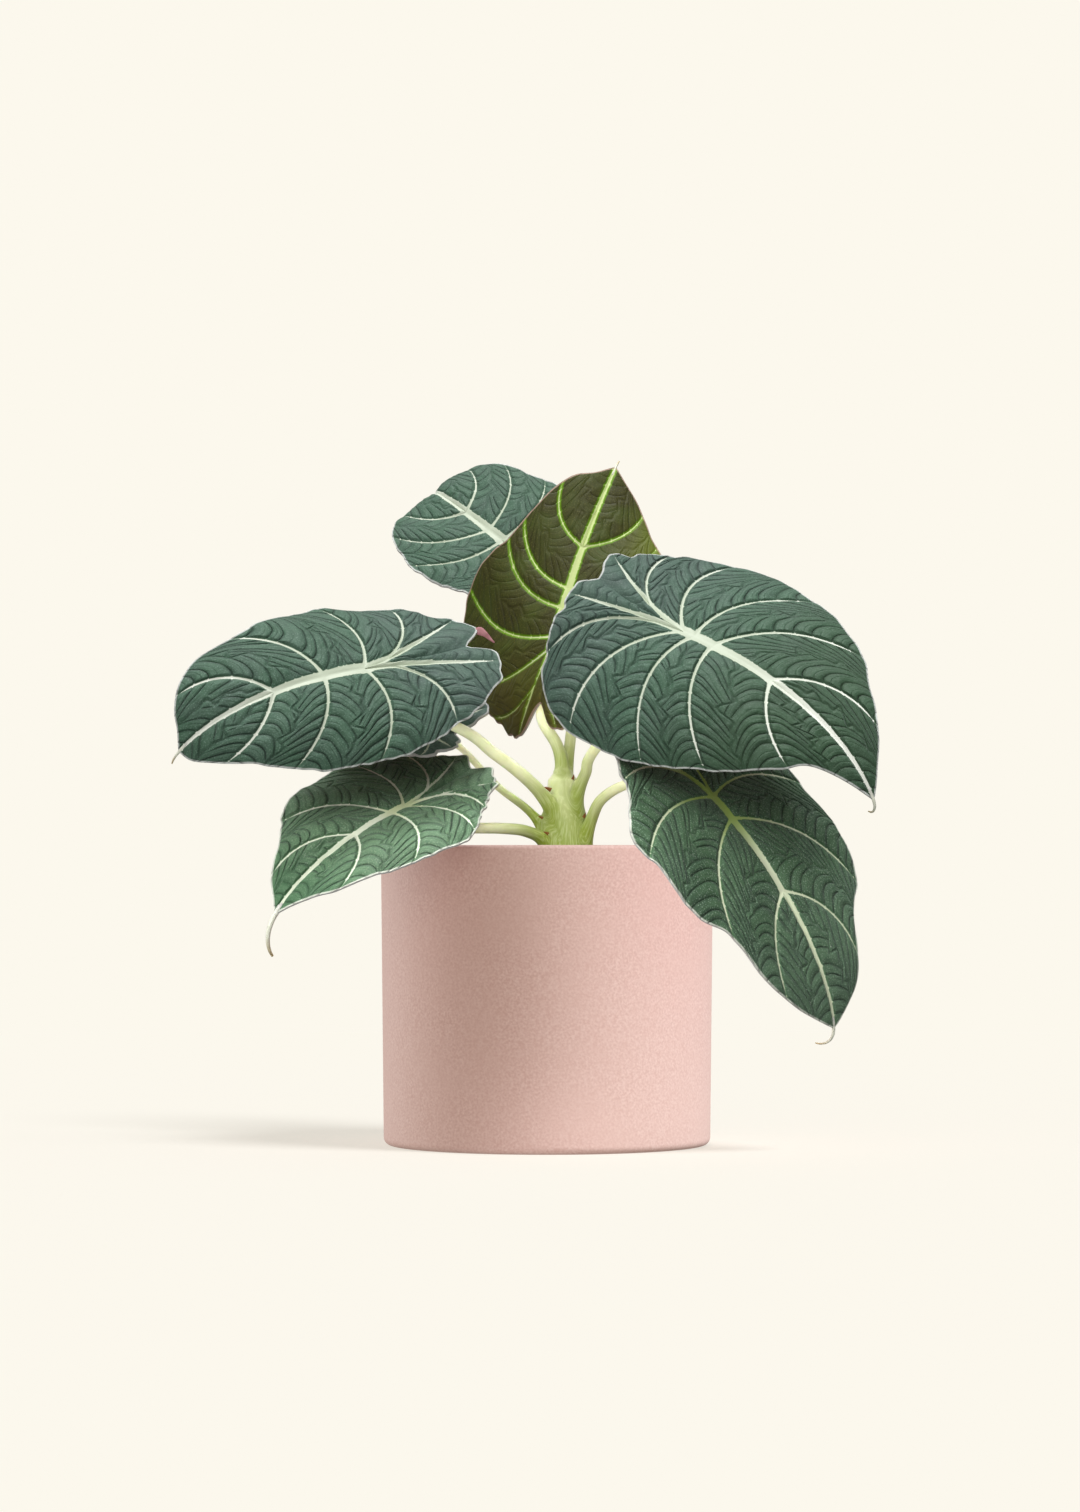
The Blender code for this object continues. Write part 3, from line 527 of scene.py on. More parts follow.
def bladeVeins(leaf, side, columns):    # side veins tip to base, both parts of the rear rib, and its branch
    hand, pick = (1, 0) if side == "left" else (-1, 1)
    shares = np.linspace(0, 1, bladeForm["along"] + 1)
    bow = hand * bladeForm["bow"]
    laterals = [bowed((v[0], 0), marginPoints(leaf, side, v[1 + pick])[0], bow, shares)
                for v in leaf["veins"]]
    end = marginPoints(leaf, side, leaf["costa"][pick])[0]
    cut = np.broadcast_to(leaf["branch"][0], 2)[pick] / np.linalg.norm(end)
    inner = bowed((0, 0), end, hand * bladeForm["costaBow"], cut * columns[-3])
    outer = bowed((0, 0), end, hand * bladeForm["costaBow"], cut + (1 - cut) * shares)
    branch = bowed(outer[0], marginPoints(leaf, side, leaf["branch"][1 + pick])[0], bow, shares)
    return laterals, inner, outer, branch


def bladeFields(leaf, side, columns):    # each field: two veins, base, rim, columns, and if both are veins
    pick = 0 if side == "left" else 1
    shares = np.linspace(0, 1, bladeForm["along"] + 1)
    laterals, inner, outer, branch = bladeVeins(leaf, side, columns)
    stops = marginStops(leaf, pick)
    whole = np.concatenate([inner, outer[1:]])
    notch = lineTo((0, 0), marginPoints(leaf, side, 180.0)[0], np.linspace(0, 1, len(whole)))
    tipRib = lineTo(laterals[0][0], (leaf["tip"], 0), shares)
    edges = [(tipRib, laterals[0]), *zip(laterals, laterals[1:]), (laterals[-1], branch), (branch, outer),
             (whole, notch)]
    fields = []
    for k, (a, b) in enumerate(edges):
        u = columns[k]
        turns = u ** 1.25 if k == 0 else u
        rim = marginPoints(leaf, side, stops[k] + (stops[k + 1] - stops[k]) * turns)
        base = inner if k == len(edges) - 3 else lineTo(a[0], b[0], u)
        fields.append((a, b, base, rim, u, k < len(edges) - 1))
    return fields


def runLength(line):     # how far along a line each of its points is
    return np.concatenate([[0], np.cumsum(np.linalg.norm(np.diff(line, axis=0), axis=1))])


def readCurve(curve, u, at):    # the points of a curve, given at shares u, at other shares
    return np.stack([np.interp(at, u, curve[:, c]) for c in (0, 1)], -1)


def archPhase(run, lean, seed, wide):    # counts the quilted arches from one vein, unevenly spaced
    phase = (run - lean) / (wide * archLook["spacing"]) + seed
    uneven = np.interp(phase, np.arange(-40, 60), [noise.noise(Vector((0.43 * k, seed, 5.0)))
                                                   for k in range(-40, 60)])
    return phase + quilting["uneven"] * 2 * uneven


def bladeGrid(leaf):
    # Each field is a grid: rows run out along its veins and columns go from vein to vein. The quilted arches
    # cross each side vein squarely and lean outwards to a wavy crease along the middle of the field, so the
    # two halves of a field count their arches apart, and arch is kept for each corner of each face.
    index, faces, corners = {}, [], []
    kept = {key: [] for key in ("point", "arch", "puff", "quilt", "narrow", "midGap")}
    columns = columnShares(leaf)
    for hand, side in enumerate(("left", "right")):
        for k, (a, b, base, rim, u, bothVeins) in enumerate(bladeFields(leaf, side, columns)):
            t, across = np.meshgrid(np.linspace(0, 1, len(a)), u, indexing="ij")
            runA, runB = runLength(a)[:, None], runLength(b)[:, None]
            ripple = sum(high * np.sin(runA * 2 * math.pi / length + start) for (high, length), start in zip(
                quilting["ripples"], (leaf["tip"], 2.0)))
            v = across + quilting["zigzag"] * ripple * 4 * across * (1 - across) * np.sin(math.pi * t)
            tt, vv = t[..., None], v[..., None]
            ends = (1 - vv) * ((1 - tt) * a[0] + tt * a[-1]) + vv * ((1 - tt) * b[0] + tt * b[-1])
            grid = ((1 - vv) * a[:, None] + vv * b[:, None] + (1 - tt) * readCurve(base, u, v)
                    + tt * readCurve(rim, u, v) - ends)
            width = np.linalg.norm(a - b, axis=1)[:, None]
            width = np.maximum(width, 0.6 * width.mean())
            toVein = np.minimum(across, 1 - across) if bothVeins else across / 2
            sides = (v, 1 - v) if bothVeins else (v / 2, v / 2)
            spread = leaf.get("fan", (1, 1))[hand]
            fan = quilting["lean"] * spread
            leans = [fan * width * (2 * share) ** quilting["bend"] / 2 for share in sides]
            wander = quilting["wander"] * 2 * softNoise(
                np.dstack([grid, np.zeros(t.shape)]).reshape(-1, 3), quilting["wanderSize"], leaf["tip"] + k)
            wander = wander.reshape(t.shape)
            wide = 0.55 + 0.45 * spread
            phases = [archPhase(run, lean, 0.37 * (k + part) + hand, wide) + wander
                      for part, (run, lean) in enumerate(zip((runA, runB), leans))]
            middle = len(u) // 2 if bothVeins else len(u)
            phase = np.where(np.arange(len(u)) < middle, phases[0], phases[1])
            steep = fan * quilting["bend"] * (2 * toVein) ** (quilting["bend"] - 1)
            # leaning arches are closer together, so flatter
            narrow = wide * (1 + steep * steep + 0 * width) ** -0.5
            gap = np.abs(0.5 - across) * width if bothVeins else 4.0 + 0 * across
            bulge = 4 * across * (1 - across) * np.sin(math.pi * np.minimum(t, 0.999)) ** 0.5
            strength = np.clip(toVein * width / quilting["reach"], 0, 1)
            strength = strength * np.clip(t / quilting["fadeIn"], 0.3, 1)
            if not bothVeins:
                strength = 0.6 * strength * np.clip(3 - 3 * across, 0, 1)
            tables = dict(point=grid, arch=phase, puff=bulge, quilt=strength, narrow=narrow, midGap=gap)
            number = np.empty(t.shape, int)
            for place in np.ndindex(t.shape):
                key = tuple(grid[place].round(2).tolist())
                if key not in index:
                    index[key] = len(index)
                    for what, table in tables.items():
                        kept[what].append(table[place])
                number[place] = index[key]
            for row, column in np.ndindex(len(a) - 1, len(u) - 1):
                places = ((row, column), (row + 1, column), (row + 1, column + 1), (row, column + 1))
                half = phases[0] if column < middle else phases[1]
                value = {number[p]: half[p] for p in places}
                loop = [number[p] for p in places]
                for tri in halves(loop if side == "left" else loop[::-1], kept["point"]):
                    faces.append(tuple(int(v) for v in tri))
                    corners.append([value[v] for v in tri])
    return {key: np.array(column) for key, column in kept.items()}, faces, np.array(corners)


def doubledArea(tri, points):    # below 0 for a triangle that is turned over
    a, b, c = (points[v] for v in tri)
    return (b[0] - a[0]) * (c[1] - a[1]) - (b[1] - a[1]) * (c[0] - a[0])


def halves(loop, points):    # splits a cell along the diagonal that leaves the fuller triangles
    corners = [v for k, v in enumerate(loop) if v != loop[k - 1]]
    if len(corners) < 3:
        return []
    if len(corners) == 3:
        return [tuple(corners)]
    a, b, c, d = corners
    choices = (((a, b, c), (a, c, d)), ((a, b, d), (b, c, d)))
    return list(max(choices, key=lambda pair: min(doubledArea(t, points) for t in pair)))


def gapTo(lines, flat):    # distance to the edge of the nearest line, and how wide that line is there
    best = np.full(len(flat), 1e3)
    wide = np.zeros(len(flat))
    for line, widths in lines:
        for k in range(len(line) - 1):
            p, q = line[k], line[k + 1]
            chord = q - p
            f = np.clip(((flat - p) @ chord) / max(chord @ chord, 1e-9), 0, 1)
            half = widths[k] * (1 - f) + widths[k + 1] * f
            gap = np.linalg.norm(flat - p - f[:, None] * chord, axis=1) - half
            closer = gap < best
            best[closer], wide[closer] = gap[closer], half[closer]
    return best, wide


def veinLines(leaf, columns):    # every vein with its half widths, which taper and stop short of the margin
    coarse = np.linspace(0, 1, 15)
    slim = leaf.get("slim", {})
    w = {part: slim.get(part, 1.0) * width for part, width in veinWidths.items()}
    lines = [(lineTo((0, 0), (leaf["tip"], 0), coarse), w["rib"] * (1 - coarse) ** 1.2 + w["ribTip"])]
    for side in ("left", "right"):
        laterals, inner, outer, branch = bladeVeins(leaf, side, columns)
        flare = w["flare"] * np.exp(-coarse * 18)
        stop = np.clip((0.95 - coarse) * 9, -0.4, 1)
        thin = (w["side"] * (1 - coarse) + w["sideEnd"] * coarse + flare) * stop
        for line in [*laterals, branch]:
            lines.append((readCurve(line, np.linspace(0, 1, len(line)), coarse), thin))
        whole = np.concatenate([inner, outer[1:]])
        shares = runLength(whole) / runLength(whole)[-1]
        stout = (w["costa"] * (1 - coarse) + w["costaEnd"] * coarse + flare) * stop
        lines.append((readCurve(whole, shares, coarse), stout))
    return lines


def marginLine(leaf):    # the whole margin, from the tip round by the notch
    turns = np.linspace(0, 180, 90)
    right = marginPoints(leaf, "right", turns)[::-1]
    return np.concatenate([marginPoints(leaf, "left", turns), right])


dripForm = dict(root=5.0, base=0.77, end=0.22, sides=10, rings=18)


def dripTip(leaf):    # the fine thread at the tip of the blade: rings round the end of its rib
    sides, count = dripForm["sides"], dripForm["rings"]
    reach = np.linspace(leaf["tip"] - dripForm["root"], leaf["tip"] + leaf["thread"], count)
    flat = np.stack([reach, np.zeros(count)], 1)
    line, normal = bentSheet(leaf, flat)
    ahead = np.gradient(line, axis=0)
    ahead /= np.linalg.norm(ahead, axis=1)[:, None]
    side = np.cross(ahead, normal)
    side /= np.linalg.norm(side, axis=1)[:, None]
    share = np.linspace(0, 1, count)
    base, end = leaf.get("drip", (dripForm["base"], dripForm["end"]))
    radius = (base - end) * (1 - share) ** 0.7 + end
    radius[0] *= 0.5
    rings = ringsAlong(line, radius, np.stack([side, normal], 1), sides)
    return rings, np.repeat(flat, sides, 0), np.repeat(share, sides)


def makeBlade(name, leaf):
    grid, faces, corners = bladeGrid(leaf)
    flat, arch = grid["point"], grid["arch"]
    middle, normal = bentSheet(leaf, flat)
    veinGap, veinWide = gapTo(veinLines(leaf, columnShares(leaf)), flat)
    edge = marginLine(leaf)
    edgeGap, _ = gapTo([(edge, np.zeros(len(edge)))], flat)
    start, end = quilting["midWide"]    # beside the middle of a field every second arch is left out
    nearMid = np.clip((end - grid["midGap"]) / (end - start), 0, 1)
    nearMid = nearMid * nearMid * (3 - 2 * nearMid)
    every, second = (np.abs(np.sin(math.pi * arch / count)) ** quilting["round"] for count in (2, 4))
    folds = quilting["main"] * ((1 - nearMid) * every + quilting["midHigh"] * nearMid * second)
    quilt = leaf["relief"] * grid["quilt"] * np.clip(veinGap / quilting["veinClear"], 0, 1)
    folds = folds * quilt * grid["narrow"] * np.clip(edgeGap / quilting["edgeFade"], 0.25, 1)
    folds = folds * np.clip(grid["midGap"] / quilting["reach"], 0, 1)
    form = bladeForm
    turn = np.arctan2(flat[:, 1], flat[:, 0])
    reach = np.hypot(flat[:, 0], flat[:, 1]) / leaf["tip"]
    wave = form["wave"] * np.minimum(1, 2 * reach) ** 3 * np.clip(form["waveEnd"] - reach, 0, 1)
    wave = wave * np.sin(form["waves"] * turn + math.radians(leaf["heading"]))
    relief = form["puff"] * grid["puff"] + wave + folds
    share = np.clip(edgeGap / form["rimWide"], 0, 1)
    half = (form["rim"] + (form["thickness"] - form["rim"]) * share) / 2
    keelHeight = np.where(veinWide > veinWidths["side"] + 0.3, form["ribKeel"], form["veinKeel"])
    keel = keelHeight * np.clip(veinWide / veinWidths["rib"], 0.3, 1) ** 0.5 * np.clip(
        1 - (veinGap + veinWide) / (1.5 * veinWide + 0.4), 0, 1) ** 0.7
    top = middle + normal * (relief + half)[:, None]
    back = middle + normal * (relief - half - keel * np.clip(edgeGap / form["keelStop"], 0, 1))[:, None]
    n = len(flat)
    tris = list(faces) + [(c + n, b + n, a + n) for a, b, c in faces]
    marks = [0] * len(faces) + [1] * len(faces)
    edges = {(a, b) for tri in faces for a, b in zip(tri, tri[1:] + tri[:1])}
    for a, b in sorted(edges):
        if (b, a) not in edges:
            tris.append((b, a, a + n, b + n))
            marks.append(2)
    rings, ringFlat, ringShare = dripTip(leaf)
    thread = [tuple(2 * n + v for v in face) for face in loftRings(rings)]
    points = np.concatenate([top, back, rings.reshape(-1, 3)])
    marks += [2] * len(thread)
    far = np.full(len(ringFlat), 5.0)
    flats = np.concatenate([np.tile(flat, (2, 1)), ringFlat])
    values = {"flat": np.concatenate([flats, np.zeros((len(points), 1))], 1)}
    for key, column in dict(veinGap=veinGap, edgeGap=edgeGap, midGap=grid["midGap"], quilt=quilt,
                            narrow=grid["narrow"]).items():
        values[key] = np.concatenate([column, column, far if key == "veinGap" else far * 0])
    values["thread"] = np.concatenate([np.zeros(2 * n), ringShare])
    others = sum(len(face) for face in (tris + thread)[2 * len(faces):])
    arches = np.concatenate([corners.ravel(), corners[:, ::-1].ravel(), np.zeros(others)])
    mats = [leafMats[leaf["paint"]], leafMats["back"], leafMats["rim"]]
    piece = makeMesh("leaf" + camel(name) + "Blade", points, tris + thread, mats, marks, values,
                     {"arch": arches})
    dress(piece, "blade_" + name)
    print("blade", name, len(piece.data.polygons), "faces")


# Stalks and crown

stalkForm = dict(sides=24, rings=96, neck=7.0, sheath=0.30, sheathReach=14.0, collar=0.25, collarReach=1.5,
                 taper=1.5, gap=0.3, paleFrom=18.0)
crownForm = dict(axis=((7.4, 0.0, 82.0), (7.4, 0.0, 117.0), (6.0, 1.0, 145.0)),
                 outline=((95, 9.0), (103, 10.4), (117, 10.4), (126, 8.9), (136.6, 6.0), (142.5, 5.4),
                          (145, 3.0)),
                 ribs=5, ribHeight=0.35, ribTurn=0.9, armReach=34.0, armDip=0.4, dipReach=5.0, sides=24,
                 blend=1.3, cell=0.5, rounds=4, pull=0.8)
stalkLook = dict(low="#7c8e2a", high="#eef4ca", streak="#e6eebc", shade="#a3b567", reach=32.0)


def smoothPath(knots, steps):    # a Catmull-Rom curve through the knots, read at even steps
    knots = [np.array(k, float) for k in knots]
    ends = [2 * knots[0] - knots[1]] + knots + [2 * knots[-1] - knots[-2]]
    fine = []
    for k in range(1, len(ends) - 2):
        p0, p1, p2, p3 = ends[k - 1:k + 3]
        for f in np.linspace(0, 1, 20, endpoint=False):
            fine.append(0.5 * (2 * p1 + (p2 - p0) * f + (2 * p0 - 5 * p1 + 4 * p2 - p3) * f * f
                               + (3 * p1 - p0 - 3 * p2 + p3) * f ** 3))
    fine.append(knots[-1])
    fine = np.array(fine)
    run = runLength(fine)
    want = np.linspace(0, run[-1], steps + 1)
    return np.stack([np.interp(want, run, fine[:, c]) for c in range(3)], 1)


def crownAxis(z):      # the middle of the crown at those heights
    axis = np.array(crownForm["axis"])
    return np.stack([np.interp(z, axis[:, 2], axis[:, c]) for c in (0, 1)], -1)


# Petiole: smooth, juicy stalk tissue with a thin waxy skin, a little see-through, streaked along its length.
def stalkSkin():
    look = stalkLook
    mat, add = newMaterial("petioleSkin", {
        "Roughness": 0.42, "IOR": 1.42, "Specular IOR Level": 0.4, "Subsurface Weight": 0.4,
        "Subsurface Radius": (1.0, 1.2, 0.5), "Subsurface Scale": 2.5 * mm})
    around = add("point", attribute_name="around")
    streaks = add("noise", add("stretch", around, (1.0, 1.0, 0.06)), 1.6, 3.0)
    rise = add("smooth", add("number", attribute_name="run"), 0.0, look["reach"])
    body = add("blend", rise, look["low"], look["high"])
    for cloud, start, end, tone in ((streaks, 0.45, 0.8, "streak"),
                                    (add("noise", around, 0.16, 2.0), 0.5, 0.75, "shade")):
        body = add("blend", add("ramp", cloud, start, end, 0.0, 0.35), body, look[tone])
    return wire(mat, {"Base Color": body, "Normal": add("bump", streaks, 0.12, 0.12 * mm)})


def ringFrame(path, k, across, ahead=None):    # the axes of a ring, turned no further than the path bends
    if ahead is None:
        ahead = path[min(k + 1, len(path) - 1)] - path[max(k - 1, 0)]
    ahead = ahead / np.linalg.norm(ahead)
    guide = np.array((0.0, 1.0, 0.0)) if across is None else across
    across = guide - ahead * guide.dot(ahead)
    across = across / np.linalg.norm(across)
    return across, np.cross(ahead, across)


def stalkLine(leaf):    # a petiole from inside the crown to the blade: its path, run, radii and ring axes
    form = stalkForm
    up = frameOf(leaf)[2]
    below = bladeForm["thickness"] / 2 + bladeForm["ribKeel"] + form["gap"]
    end = np.array(leaf["attach"], float) - up * below
    path = smoothPath([leaf["root"], *leaf["stalk"], end - up * form["neck"], end], form["rings"])
    path = np.concatenate([path, [end + up * 0.5 * below]])
    run = runLength(path)
    shares = np.minimum(np.arange(len(path)) / form["rings"], 1)
    baseGirth, endGirth = leaf["girth"]
    radii = endGirth + (baseGirth - endGirth) * (1 - shares) ** form["taper"]
    radii *= 1 + form["sheath"] * np.exp(-((run / form["sheathReach"]) ** 2))
    radii *= 1 + form["collar"] * np.exp(-(run[-1] - run) / form["collarReach"])
    axes, across = [], None
    for k in range(len(path)):
        across, other = ringFrame(path, k, across, up if k >= len(path) - 2 else None)
        axes.append((across, other))
    return path, run, radii, np.array(axes)


def makeStalk(name, leaf):
    path, run, radii, axes = stalkLine(leaf)
    sides = stalkForm["sides"]
    rings = ringsAlong(path, radii, axes, sides)
    straight = np.stack([0 * run, 0 * run, run], 1)    # the same stalk, straight, for the streaks
    around = ringsAlong(straight, radii, np.tile(np.eye(3)[:2], (len(run), 1, 1)), sides).reshape(-1, 3)
    piece = makeMesh("petiole" + camel(name), rings.reshape(-1, 3), loftRings(rings), [stalkMat],
                     values={"run": np.repeat(run, sides) - stalkForm["paleFrom"], "around": around})
    dress(piece, "stalk_" + name)


def nearLine(points, line, reach):    # how far points are from a petiole's base, and where they are beside it
    path, run, radii, axes = line
    best = np.full(len(points), 1e3)
    beside = np.zeros((len(points), 3))
    for k in range(int(np.searchsorted(run, reach))):
        chord = path[k + 1] - path[k]
        f = np.clip((points - path[k]) @ chord / (chord @ chord), 0, 1)
        off = points - path[k] - f[:, None] * chord
        at = run[k] + f * (run[k + 1] - run[k])
        near = np.clip((at - reach) / crownForm["dipReach"] + 1, 0, 1)
        thin = crownForm["armDip"] * near    # the end dips under the petiole's own skin
        gap = np.linalg.norm(off, axis=1) - radii[k] - f * (radii[k + 1] - radii[k]) + thin
        nearer = gap < best
        best[nearer] = gap[nearer]
        beside[nearer] = np.stack([off @ axes[k, 0], off @ axes[k, 1], at], 1)[nearer]
    return best, beside


def crownGap(points, lines):    # how far points are outside the crown with the petiole bases run into it
    form = crownForm
    z = points[:, 2]
    off = points[:, :2] - crownAxis(z)
    lift = (z - form["outline"][0][0]) / 8.0
    fold = np.abs(np.cos(form["ribs"] * np.arctan2(off[:, 1], off[:, 0]) / 2 + form["ribTurn"] * lift))
    wide = np.interp(z, [o[0] for o in form["outline"]], [o[1] for o in form["outline"]])
    body = np.hypot(off[:, 0], off[:, 1]) - wide - form["ribHeight"] * (2 * fold - 1)
    body = np.maximum(body, np.maximum(z - form["outline"][-1][0], form["outline"][0][0] - z))
    gaps, places = [body], [np.stack([off[:, 0], off[:, 1], z - form["outline"][0][0]], 1)]
    for line in lines:
        gap, place = nearLine(points, line, form["armReach"])
        gaps.append(gap)
        places.append(place)
    shares = np.exp(-np.array(gaps) / form["blend"])
    total = shares.sum(0)
    place = sum(share[:, None] * beside for share, beside in zip(shares, places)) / total[:, None]
    return -form["blend"] * np.log(total), place


def makeCrown():
    # The crown and the first stretch of every petiole grow into one another: their rough shapes are joined,
    # meshed evenly, and then drawn onto the smooth skin round all of them.
    form = crownForm
    lines = [stalkLine(leaf) for leaf in leaves.values()]
    z, wide = np.array(form["outline"]).T
    level = np.tile(np.eye(3)[:2], (len(z), 1, 1))
    stacks = [ringsAlong(np.column_stack([crownAxis(z), z]), wide, level, form["sides"])]
    for path, run, radii, axes in lines:
        count = int(np.searchsorted(run, form["armReach"]))
        stacks.append(ringsAlong(path[:count], radii[:count], axes[:count], form["sides"]))
    points, faces = [], []
    for rings in stacks:
        start = sum(map(len, points))
        faces += [tuple(start + v for v in face) for face in loftRings(rings)]
        points.append(rings.reshape(-1, 3))
    rough = makeMesh("roughCrown", np.concatenate(points), faces, [])
    even = rough.modifiers.new("even", "REMESH")
    even.mode, even.voxel_size = "VOXEL", form["cell"] * mm
    mesh = bpy.data.meshes.new_from_object(rough.evaluated_get(bpy.context.evaluated_depsgraph_get()))
    bpy.data.objects.remove(rough)
    column = np.empty(3 * len(mesh.vertices), np.float32)
    for _ in range(form["rounds"]):
        mesh.vertices.foreach_get("co", column)
        place = column.reshape(-1, 3).astype(float) / mm
        mesh.vertex_normals.foreach_get("vector", column)
        place -= form["pull"] * crownGap(place, lines)[0][:, None] * column.reshape(-1, 3)
        mesh.vertices.foreach_set("co", (place * mm).astype(np.float32).ravel())
        mesh.update()
    around = crownGap(place, lines)[1]
    piece = makeMesh("plantCrown", place, [tuple(face.vertices) for face in mesh.polygons], [stalkMat],
                     values={"run": around[:, 2] - stalkForm["paleFrom"], "around": around})
    dress(piece, "crown")
    print("crown", len(piece.data.polygons), "faces")


# Pot

potForm = dict(rim=65.0, foot=63.8, height=117.0, wall=4.5, floor=5.0, lip=1.5, heel=3.0, segments=256)
# Unglazed slip-cast stoneware, stained pink: chalky and even, with a fine sandy grain and no gloss.
potLook = dict(body="#dcb8ac", dark="#cb9f93", light="#ebcdc2", grain=0.9, cloud=22.0)


def potClay():
    look = potLook
    mat, add = newMaterial("pinkBisqueStoneware", {"Roughness": 0.7, "IOR": 1.5, "Specular IOR Level": 0.4})
    place = add("place")
    grain = add("noise", place, 1 / (look["grain"] * mm), 4.0)
    sand = add("blend", add("ramp", grain, 0.35, 0.68), look["dark"], look["light"])
    veil = add("ramp", add("noise", place, 1 / (look["cloud"] * mm), 2.0), 0.3, 0.7, 0.45, 0.75)
    return wire(mat, {"Base Color": add("blend", veil, sand, look["body"]),
                      "Normal": add("bump", grain, 0.35, 0.15 * mm)})


def corner(radius, start, steps=8):    # a quarter circle
    angles = np.radians(start + 90 * np.arange(steps + 1) / steps)
    return np.stack([radius * np.cos(angles), radius * np.sin(angles)], 1)


def makePot():
    p = potForm
    top, inner, footIn = p["height"] - p["lip"], p["rim"] - p["wall"], p["foot"] - p["wall"]
    heel, shares = corner(p["heel"], -90), np.linspace(0, 1, 14)[1:-1]
    profile = np.concatenate([    # radius and height, from the middle of the foot over the rim to the floor
        [(0.5, 0.0)],
        heel + (p["foot"] - p["heel"], p["heel"]),
        lineTo((p["foot"], p["heel"]), (p["rim"], top), shares),
        corner(p["lip"], 0) + (p["rim"] - p["lip"], top),
        corner(p["lip"], 90) + (inner + p["lip"], top),
        lineTo((inner, top), (footIn, p["floor"] + p["heel"]), shares),
        (heel + (footIn - p["heel"], p["floor"] + p["heel"]))[::-1],
        [(0.5, p["floor"])]])
    level = np.tile(np.eye(3)[:2], (len(profile), 1, 1))
    rings = ringsAlong(profile[:, 1:] * (0, 0, 1), profile[:, 0], level, p["segments"])
    piece = makeMesh("flowerPot", rings.reshape(-1, 3), loftRings(rings), [potClay()], sharp=50)
    dress(piece, "pot")


# Soil

# Moist potting mix: fibrous peat crumbs with bark chips and a few white perlite grains.
soilForm = dict(level=104.0, depth=12.0, radius=59.6, rings=90, segments=180,
                swells=((1.3, 17.0, 3.0), (1.1, 4.5, 5.0), (0.6, 1.9, 9.0)))   # height, size and seed of each
crumbForm = dict(count=1500, seed=7, small=(0.5, 1.6), large=(1.2, 2.6), largeFrom=0.8, perliteFrom=0.95,
                 perliteSize=0.6, stretch=((0.6, 1.5), (0.6, 1.3), (0.4, 0.9)), dents=0.18, edge=1.5,
                 lift=0.2)
soilLook = {"peatCrumb": ("#2b1f17", "#4a382a", 1.2), "pineBark": ("#3b281b", "#6a4a33", 1.5),
            "perliteGrain": ("#b9b4a8", "#d9d5ca", 0.8)}   # dark, light, and the size of their clouds


def soilMat(name, dark, light, size):
    mat, add = newMaterial(name, {"Roughness": 0.95, "IOR": 1.45, "Specular IOR Level": 0.2})
    cloud = add("noise", add("place"), 1 / (size * mm), 5.0)
    return wire(mat, {"Base Color": add("blend", add("ramp", cloud, 0.3, 0.7), dark, light),
                      "Normal": add("bump", cloud, 0.8, 0.4 * mm)})


def crumbShape():    # a lump of twenty faces
    lump = bmesh.new()
    bmesh.ops.create_icosphere(lump, subdivisions=1, radius=1.0)
    points = np.array([tuple(v.co) for v in lump.verts])
    faces = [tuple(v.index for v in f.verts) for f in lump.faces]
    lump.free()
    return points, faces


def makeSoil():
    form, crumb = soilForm, crumbForm
    radii = np.linspace(0.4, form["radius"], form["rings"])
    turn = 2 * math.pi * np.arange(form["segments"]) / form["segments"]
    place = np.array([[(r * math.cos(a), r * math.sin(a), 0.0) for a in turn] for r in radii])
    height = form["level"] + sum(rise * softNoise(place.reshape(-1, 3), size, seed)
                                 for rise, size, seed in form["swells"])
    place[..., 2] = height.reshape(place.shape[:2])
    skirt = place[-1].copy()
    skirt[:, 2] = form["level"] - form["depth"]
    rings = np.concatenate([place, [skirt]])
    points, faces = [rings.reshape(-1, 3)], [tuple(reversed(face)) for face in loftRings(rings)]
    marks = [0] * len(faces)
    draw = random.Random(crumb["seed"])
    blob, blobFaces = crumbShape()
    start = len(points[0])
    rise, swell, seed = form["swells"][0]
    for k in range(crumb["count"]):
        r = form["radius"] * math.sqrt(draw.random()) - crumb["edge"]
        a = draw.uniform(0, 2 * math.pi)
        kind = draw.random()
        mark = int(kind >= crumb["largeFrom"]) + int(kind >= crumb["perliteFrom"])
        size = draw.uniform(*crumb["large" if mark else "small"])
        if mark == 2:
            size *= crumb["perliteSize"]
        stretch = np.array([draw.uniform(*ends) for ends in crumb["stretch"]])
        if r < 0 or r + 2 * size > form["radius"]:
            continue
        x, y = r * math.cos(a), r * math.sin(a)
        spin = draw.uniform(0, 2 * math.pi)
        c, s = math.cos(spin), math.sin(spin)
        lump = blob * stretch * size
        lump = np.stack([c * lump[:, 0] - s * lump[:, 1], s * lump[:, 0] + c * lump[:, 1], lump[:, 2]], 1)
        z = form["level"] + rise * softNoise([(x, y, 0.0)], swell, seed)[0] + crumb["lift"] * size
        points.append(lump * (1 + crumb["dents"] * np.sin(7 * blob[:, :1] * (1 + k % 5))) + (x, y, z))
        faces += [tuple(v + start for v in face) for face in blobFaces]
        marks += [mark] * len(blobFaces)
        start += len(blob)
    mats = [soilMat(name, *look) for name, look in soilLook.items()]
    piece = makeMesh("pottingMix", np.concatenate(points), faces, mats, marks, sharp=35)
    dress(piece, "soil")
    print("soil", len(faces), "faces")


